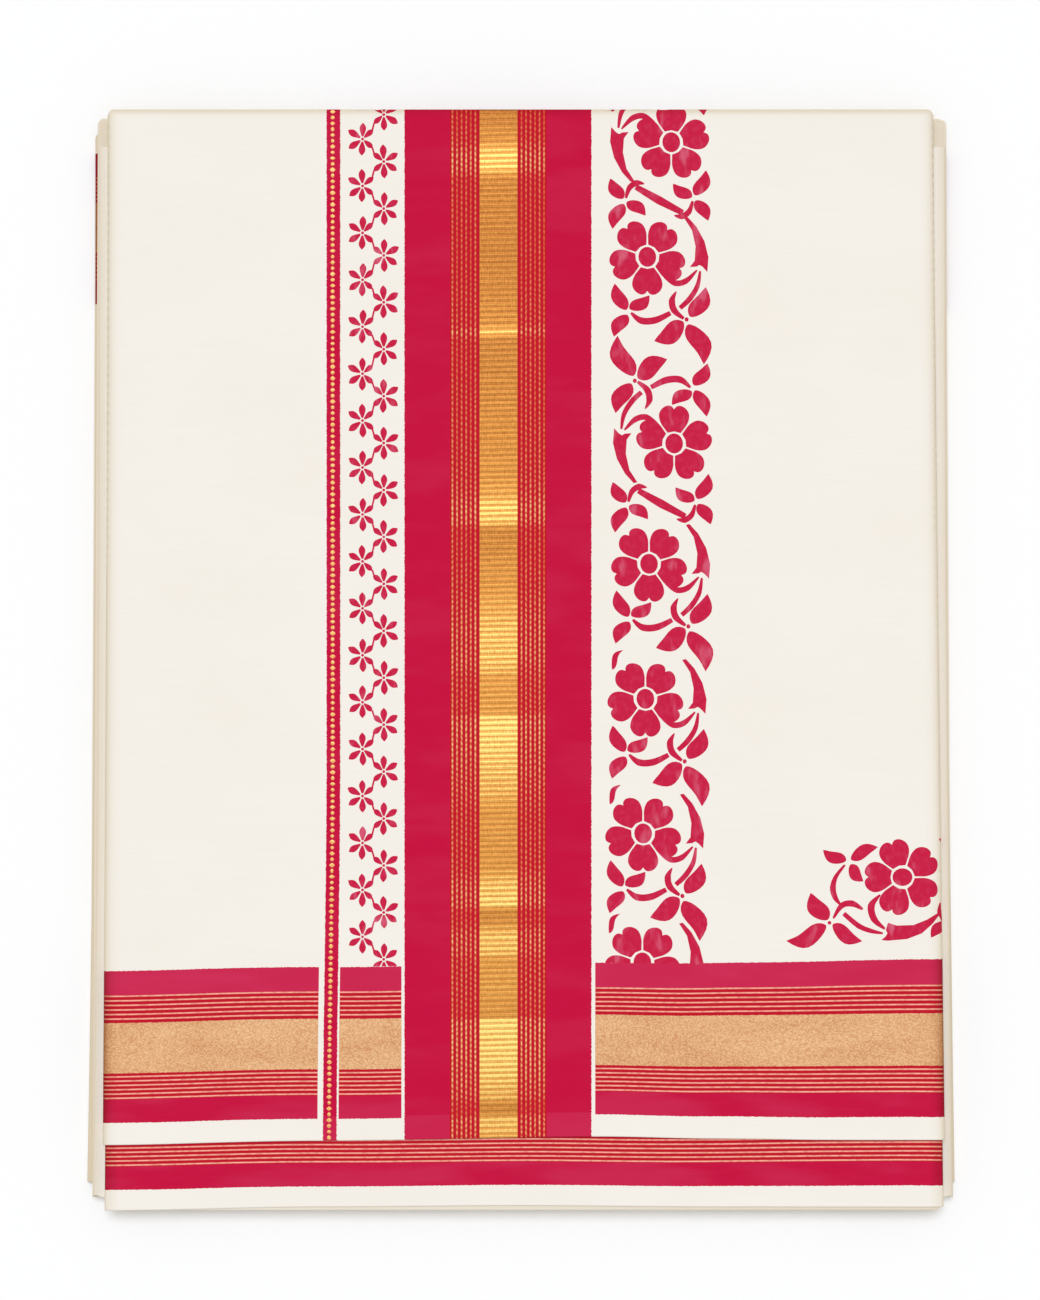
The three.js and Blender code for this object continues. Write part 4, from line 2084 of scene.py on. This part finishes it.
@dataclass
class HiddenLayers:
    """The doubled layers hidden in the pack, which show as rounded folds at its edges."""

    groups: tuple[LayerGroup, ...]
    corner: float = 2.6
    # Painted shade on the layers: where it starts out from the middle, how far it grows, and its most
    fold_shading_from: float = 190.0
    fold_shading_over: float = 30.0
    most_fold_shading: float = 0.7
    fullness: float = 0.94
    corner_steps: int = 6
    edge_steps: int = 7
    first_seed: int = 3

    def shade_folds(self, mesh: bpy.types.Mesh) -> None:
        """Paints shade on the layers towards their side folds."""
        out = np.array([abs(vertex.co.x) for vertex in mesh.vertices]) / MM
        mark_fold_shading(mesh, np.clip((out - self.fold_shading_from) / self.fold_shading_over, 0, self.most_fold_shading))

    def leaf_of(self, group: LayerGroup) -> bpy.types.Object:
        """Builds one doubled layer, a thin slab with rounded edges, a little wider when near.

        Args:
            group: The group that it belongs to.

        Returns:
            The slab.
        """
        half = group.pitch / 2 * self.fullness
        ring: list[tuple[float, float, float, float]] = []
        corners = (
            (group.right, group.near, -90),
            (group.right, group.far, 0),
            (group.left, group.far, 90),
            (group.left, group.near, 180),
        )
        for x, y, start in corners:
            inward = (-1 if x > 0 else 1, -1 if y > 0 else 1)
            for i in range(self.corner_steps):
                angle = math.radians(start + 90 * i / (self.corner_steps - 1))
                centre = (x + inward[0] * self.corner, y + inward[1] * self.corner)
                ring.append((centre[0], centre[1], math.cos(angle), math.sin(angle)))
        verts, profile = [], self.edge_steps
        for k in range(profile):
            angle = math.pi * (k / (profile - 1) - 0.5)
            reach, lift = self.corner - half + half * math.cos(angle), half * math.sin(angle)
            for cx, cy, nx, ny in ring:
                x, y = cx + nx * reach, cy + ny * reach
                widen = 1 + group.flare * (group.far - y) / (group.far - group.near)
                verts.append((x * widen * MM, y * MM, lift * MM))
        size = len(ring)
        faces = [
            (k * size + i, k * size + j, (k + 1) * size + j, (k + 1) * size + i)
            for k in range(profile - 1)
            for i, j in zip(range(size), [*range(1, size), 0])
        ]
        faces += [tuple(reversed(range(size))), tuple(range((profile - 1) * size, profile * size))]
        mesh = bpy.data.meshes.new("one_layer")
        mesh.from_pydata(verts, [], faces)
        mesh.polygons.foreach_set("use_smooth", [True] * (len(faces) - 2) + [False] * 2)
        return place_object(mesh, "one_layer")

    def tree(self) -> bpy.types.NodeTree:
        """Builds the group that stacks layers, each a little out of line with the last.

        Returns:
            The node group.
        """
        inputs = {"Layer": "Object", "Count": "Int", "Bottom": "Float", "Pitch": "Float"}
        inputs |= {"Wander": "Float", "Seed": "Int"}
        nodes = GrowthNodes("stacked_layers", inputs)
        line = nodes.new("GeometryNodeMeshLine")
        line.mode = "OFFSET"
        for label, socket in (("Bottom", "Start Location"), ("Pitch", "Offset")):
            upward = nodes.new("ShaderNodeCombineXYZ")
            nodes.given(label, upward.inputs["Z"])
            nodes.link(upward.outputs[0], line.inputs[socket])
        nodes.given("Count", line.inputs["Count"])
        away = nodes.new("FunctionNodeRandomValue")
        away.data_type = "FLOAT_VECTOR"
        away.inputs["Min"].default_value = (-1, -1, 0)
        away.inputs["Max"].default_value = (1, 1, 0)
        nodes.given("Seed", away.inputs["Seed"])
        scaled = nodes.new("ShaderNodeVectorMath")
        scaled.operation = "SCALE"
        nodes.link(away.outputs["Value"], scaled.inputs[0])
        nodes.given("Wander", scaled.inputs["Scale"])
        shifted = nodes.new("GeometryNodeSetPosition")
        nodes.link(line.outputs[0], shifted.inputs["Geometry"])
        nodes.link(scaled.outputs[0], shifted.inputs["Offset"])
        return nodes.finished(nodes.placed(shifted.outputs[0], "Layer").outputs[0])

    def build(self, finish: bpy.types.Material) -> bpy.types.Object:
        """Makes the piece.

        Args:
            finish: The layers' material.

        Returns:
            The piece.
        """
        tree = self.tree()
        meshes = []
        for seed, group in enumerate(self.groups, self.first_seed):
            layer = self.leaf_of(group)
            host = place_object(bpy.data.meshes.new("host"), "host")
            values = {
                "Layer": layer,
                "Count": group.count,
                "Bottom": (group.bottom + group.pitch / 2) * MM,
                "Pitch": group.pitch * MM,
                "Wander": group.wander * MM,
                "Seed": seed,
                "Finish": finish,
            }
            meshes.append(grown(host, tree, values, "layers"))
            bpy.data.objects.remove(host)
            bpy.data.objects.remove(layer)
        mesh = joined(meshes, "hidden_layers")
        lay_flat_map(mesh)
        self.shade_folds(mesh)
        return place_object(mesh, "hidden_layers", [finish])


def joined(meshes: Sequence[bpy.types.Mesh], name: str) -> bpy.types.Mesh:
    """Joins meshes that share one finish.

    Args:
        meshes: The meshes.
        name: Name of the joined one.

    Returns:
        The joined mesh.
    """
    whole = bmesh.new()
    for mesh in meshes:
        whole.from_mesh(mesh)
    for face in whole.faces:
        face.material_index = 0
    result = bpy.data.meshes.new(name)
    whole.to_mesh(result)
    whole.free()
    return result


# The studio


@dataclass
class Studio:
    """A white floor, soft light from beyond the pack, and the camera above it."""

    picture: Point = (1040, 1300)
    scale: float = 0.5263
    height: float = 1600.0
    centre: Point = (-0.5, 5.0)
    top: float = 17.9
    floor_reach: float = 60.0
    floor_level: float = -0.0003
    floor_white: float = 0.97
    sky: Colour = (1.0, 0.955, 0.9)
    sky_strength: float = 0.6
    lamp: Colour = (0.97, 1.04, 1.13)
    lamp_strength: float = 1.465
    lamp_width: float = 28.0
    lamp_from: tuple[float, float, float] = (-0.04, 0.35, 1.0)
    seen_to: float = 200.0

    def floor(self) -> None:
        """Lays the floor."""
        mesh = bpy.data.meshes.new("floor")
        size, level = self.floor_reach, self.floor_level
        corners = [(x * size, y * size, level) for x, y in ((-1, -1), (1, -1), (1, 1), (-1, 1))]
        mesh.from_pydata(corners, [], [(0, 1, 2, 3)])
        material = bpy.data.materials.new("studio_floor")
        material.use_nodes = True
        shader = next(n for n in material.node_tree.nodes if n.type == "BSDF_PRINCIPLED")
        shader.inputs["Base Color"].default_value = (*[self.floor_white] * 3, 1)
        shader.inputs["Roughness"].default_value = 1.0
        shader.inputs["Specular IOR Level"].default_value = 0.0
        place_object(mesh, "floor", [material])

    def lights(self) -> None:
        """Sets an even sky and one broad lamp, beyond the pack's far end and high above it."""
        world = bpy.data.worlds.new("studio")
        world.use_nodes = True
        background = world.node_tree.nodes["Background"]
        background.inputs["Color"].default_value = (*self.sky, 1)
        background.inputs["Strength"].default_value = self.sky_strength
        bpy.context.scene.world = world
        data = bpy.data.lights.new("key", "SUN")
        data.energy = self.lamp_strength
        data.color = self.lamp
        data.angle = math.radians(self.lamp_width)
        lamp = bpy.data.objects.new("key", data)
        lamp.rotation_euler = Vector(self.lamp_from).to_track_quat("Z", "Y").to_euler()
        bpy.context.scene.collection.objects.link(lamp)

    def camera(self) -> None:
        """Sets the camera straight above the pack."""
        data = bpy.data.cameras.new("camera")
        data.sensor_fit = "VERTICAL"
        tall = self.picture[1] * self.scale
        data.angle_y = 2 * math.atan(tall / 2 / (self.height - self.top))
        data.clip_end = self.seen_to
        camera = bpy.data.objects.new("camera", data)
        camera.location = (self.centre[0] * MM, self.centre[1] * MM, self.height * MM)
        bpy.context.scene.collection.objects.link(camera)
        bpy.context.scene.camera = camera

    def build(self) -> None:
        """Sets up the whole studio."""
        self.floor()
        self.lights()
        self.camera()
        bpy.context.scene.view_settings.view_transform = "Standard"


# The whole saree


@dataclass
class Saree:
    """The folded pack: its turns, read from the frame, and the pieces built on them."""

    pallu: Turn
    middle: Turn
    lowest: Turn
    doubled: float = 2.3
    return_at: float = 168.5

    @classmethod
    def from_frame(cls) -> "Saree":
        """Reads the three turns that show from the frame.

        Returns:
            The saree.
        """
        return cls(
            pallu=Turn.of_nodes(["pallu_front_half", "pallu_back_half"], (2.8, 6.5), (1.5, 1.2), 3.2),
            middle=Turn.of_nodes(["middle_left_fold", "middle_right_fold"], (3.0, 3.8), (2.5, 1.8), 2.0),
            lowest=Turn.of_nodes(["lowest_turn"], (4.3, 4.5), (2.5, 2.0), 3.4, False),
        )

    def front(self) -> PalluFront:
        """Lays out the pallu's outer half.

        Returns:
            The sheet, not yet built.
        """
        node_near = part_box("pallu_front_half")[0][1] / MM
        creases = (
            Crease((-206, 250), (-203, -190), -0.4, 3.2),
            Crease((196, 262), (199, -40), -0.4, 3.6),
            Crease((-190, 96), (-112, 92), 0.25, 4.0),
            Crease((108, 168), (214, 176), 0.25, 4.5),
            Crease((-214, -62), (-110, -70), -0.25, 3.5),
            Crease((100, -20), (190, -32), -0.25, 5.0),
        )
        wander = Wander((-225, -105, 42, 100, 160, 228), (4.6, 2.2, 0.0, 1.1, 1.8, 1.9))
        selvedge = node_near + 5.2
        return PalluFront(self.pallu, selvedge, self.doubled / 2, wander, Relief(creases, 0.3, 0.4))

    def back(self) -> Layer:
        """Lays out the pallu's inner half, which comes out below the outer half.

        Returns:
            The sheet, not yet built.
        """
        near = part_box("pallu_back_half")[0][1] / MM + 2.7
        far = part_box("pallu_back_half")[1][1] / MM
        wander = Wander((-221, -105, 0, 100, 228), (3.3, 1.3, 0.6, 1.3, 1.4))
        relief = Relief((), 0.12, 1.0)
        return Layer("pallu_back", self.pallu, 1.25, near, far, wander, relief, side_reach=49.0)

    def folds(self) -> list[tuple[Layer, str]]:
        """Lays out the side folds of the middle turn.

        Returns:
            Each fold, with the node that it stands for.
        """
        turn, even = self.middle, Relief((), 0.0)
        found = []
        for side in Side:
            name = f"middle_fold_{side.value}"
            layer = Layer(name, turn, 0.0, turn.near, turn.far, relief=even, sides=(side,))
            found.append((layer, f"middle_{side.value}_fold"))
        return found

    def under(self) -> Layer:
        """Returns the turn that the pack lies on."""
        turn = self.lowest
        return Layer("lowest_layer", turn, 0.0, turn.near, turn.far, relief=Relief((), 0.0), from_far=True)

    def hidden(self) -> HiddenLayers:
        """Lays out the hidden layers, fitted between and inside the turns.

        Returns:
            The layers, not yet built.
        """
        low, high = (np.array(corner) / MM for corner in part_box("hidden_folds"))
        inner = self.return_at
        lowest, middle, pallu = self.lowest, self.middle, self.pallu
        near, far = low[1], high[1]
        tongue = 1.0
        groups = (
            # bottom, top, count, left, right, near, far
            LayerGroup(
                0.75, 3.25, 3,
                lowest.left.far + tongue, lowest.right.far - tongue, lowest.near + 3.5, lowest.far - 2,
            ),
            LayerGroup(3.3, 5.0, 2, -inner, inner, lowest.near - 1, lowest.far + 2),
            LayerGroup(
                5.05, 7.55, 3,
                middle.left.far + tongue, middle.right.far - tongue, middle.near + 3, far - 0.6,
            ),
            LayerGroup(7.6, 8.5, 1, -inner, inner, middle.near - 1, far - 4),
            LayerGroup(8.5, 12.8, 5, pallu.left.far + 1.8, pallu.right.far - 1.8, near - 0.4, far - 1.2),
            LayerGroup(12.85, 15.1, 2, -inner, inner, near + 0.5, far - 2.5),
            LayerGroup(
                15.15, 15.9, 1,
                pallu.left.far + 20, pallu.right.far - 2.7, pallu.near - 0.5, far - 12,
                wander=0.0, flare=0.03,
            ),
        )
        return HiddenLayers(groups)


def dress(saree: Saree, wardrobe: Wardrobe) -> None:
    """Builds every piece of cloth, and hides the solid that each sheet stands for.

    Args:
        saree: The folded pack.
        wardrobe: Its finishes.
    """
    front = saree.front()
    sheet = front.build(wardrobe)
    dots = GoldDots(front).build(wardrobe.dot)
    declare(sheet, "pallu_front_half")
    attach(dots, "root")
    declare(saree.back().build(wardrobe.border), "pallu_back_half")
    for layer, node in saree.folds():
        declare(layer.build(wardrobe.plain), node)
    declare(saree.under().build(wardrobe.border), "lowest_turn")
    hidden = saree.hidden().build(wardrobe.plain)
    count = sum(group.count for group in saree.hidden().groups)
    declare(hidden, "hidden_folds", flat=(0.575, 0.41 * count))


def declare(
    piece: bpy.types.Object,
    node: str,
    flat: Point | None = None,
) -> None:
    """Hangs a sheet of cloth under the root, hides the solid that it stands for, and logs its cut.

    Args:
        piece: The sheet.
        node: The solid that it stands for.
        flat: Its cut in metres, or None to read it from its map.
    """
    if flat is None:
        corners = np.zeros(len(piece.data.loops) * 2, dtype=np.float32)
        piece.data.uv_layers[CLOTH_MAP].data.foreach_get("uv", corners)
        spans = np.ptp(corners.reshape(-1, 2), axis=0)
        flat = (round(float(spans[1]), 3), round(float(spans[0]), 3))
    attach(piece, "root")
    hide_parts(node)
    LOG.info("%s: %d faces, cut %.3f by %.3f m", piece.name, len(piece.data.polygons), *flat)


def main() -> None:
    """Builds the studio and the saree."""
    logging.basicConfig(level=logging.INFO, format="%(name)s: %(message)s")
    Studio().build()
    dress(Saree.from_frame(), Wardrobe.made())


if __name__ == "__main__":
    main()
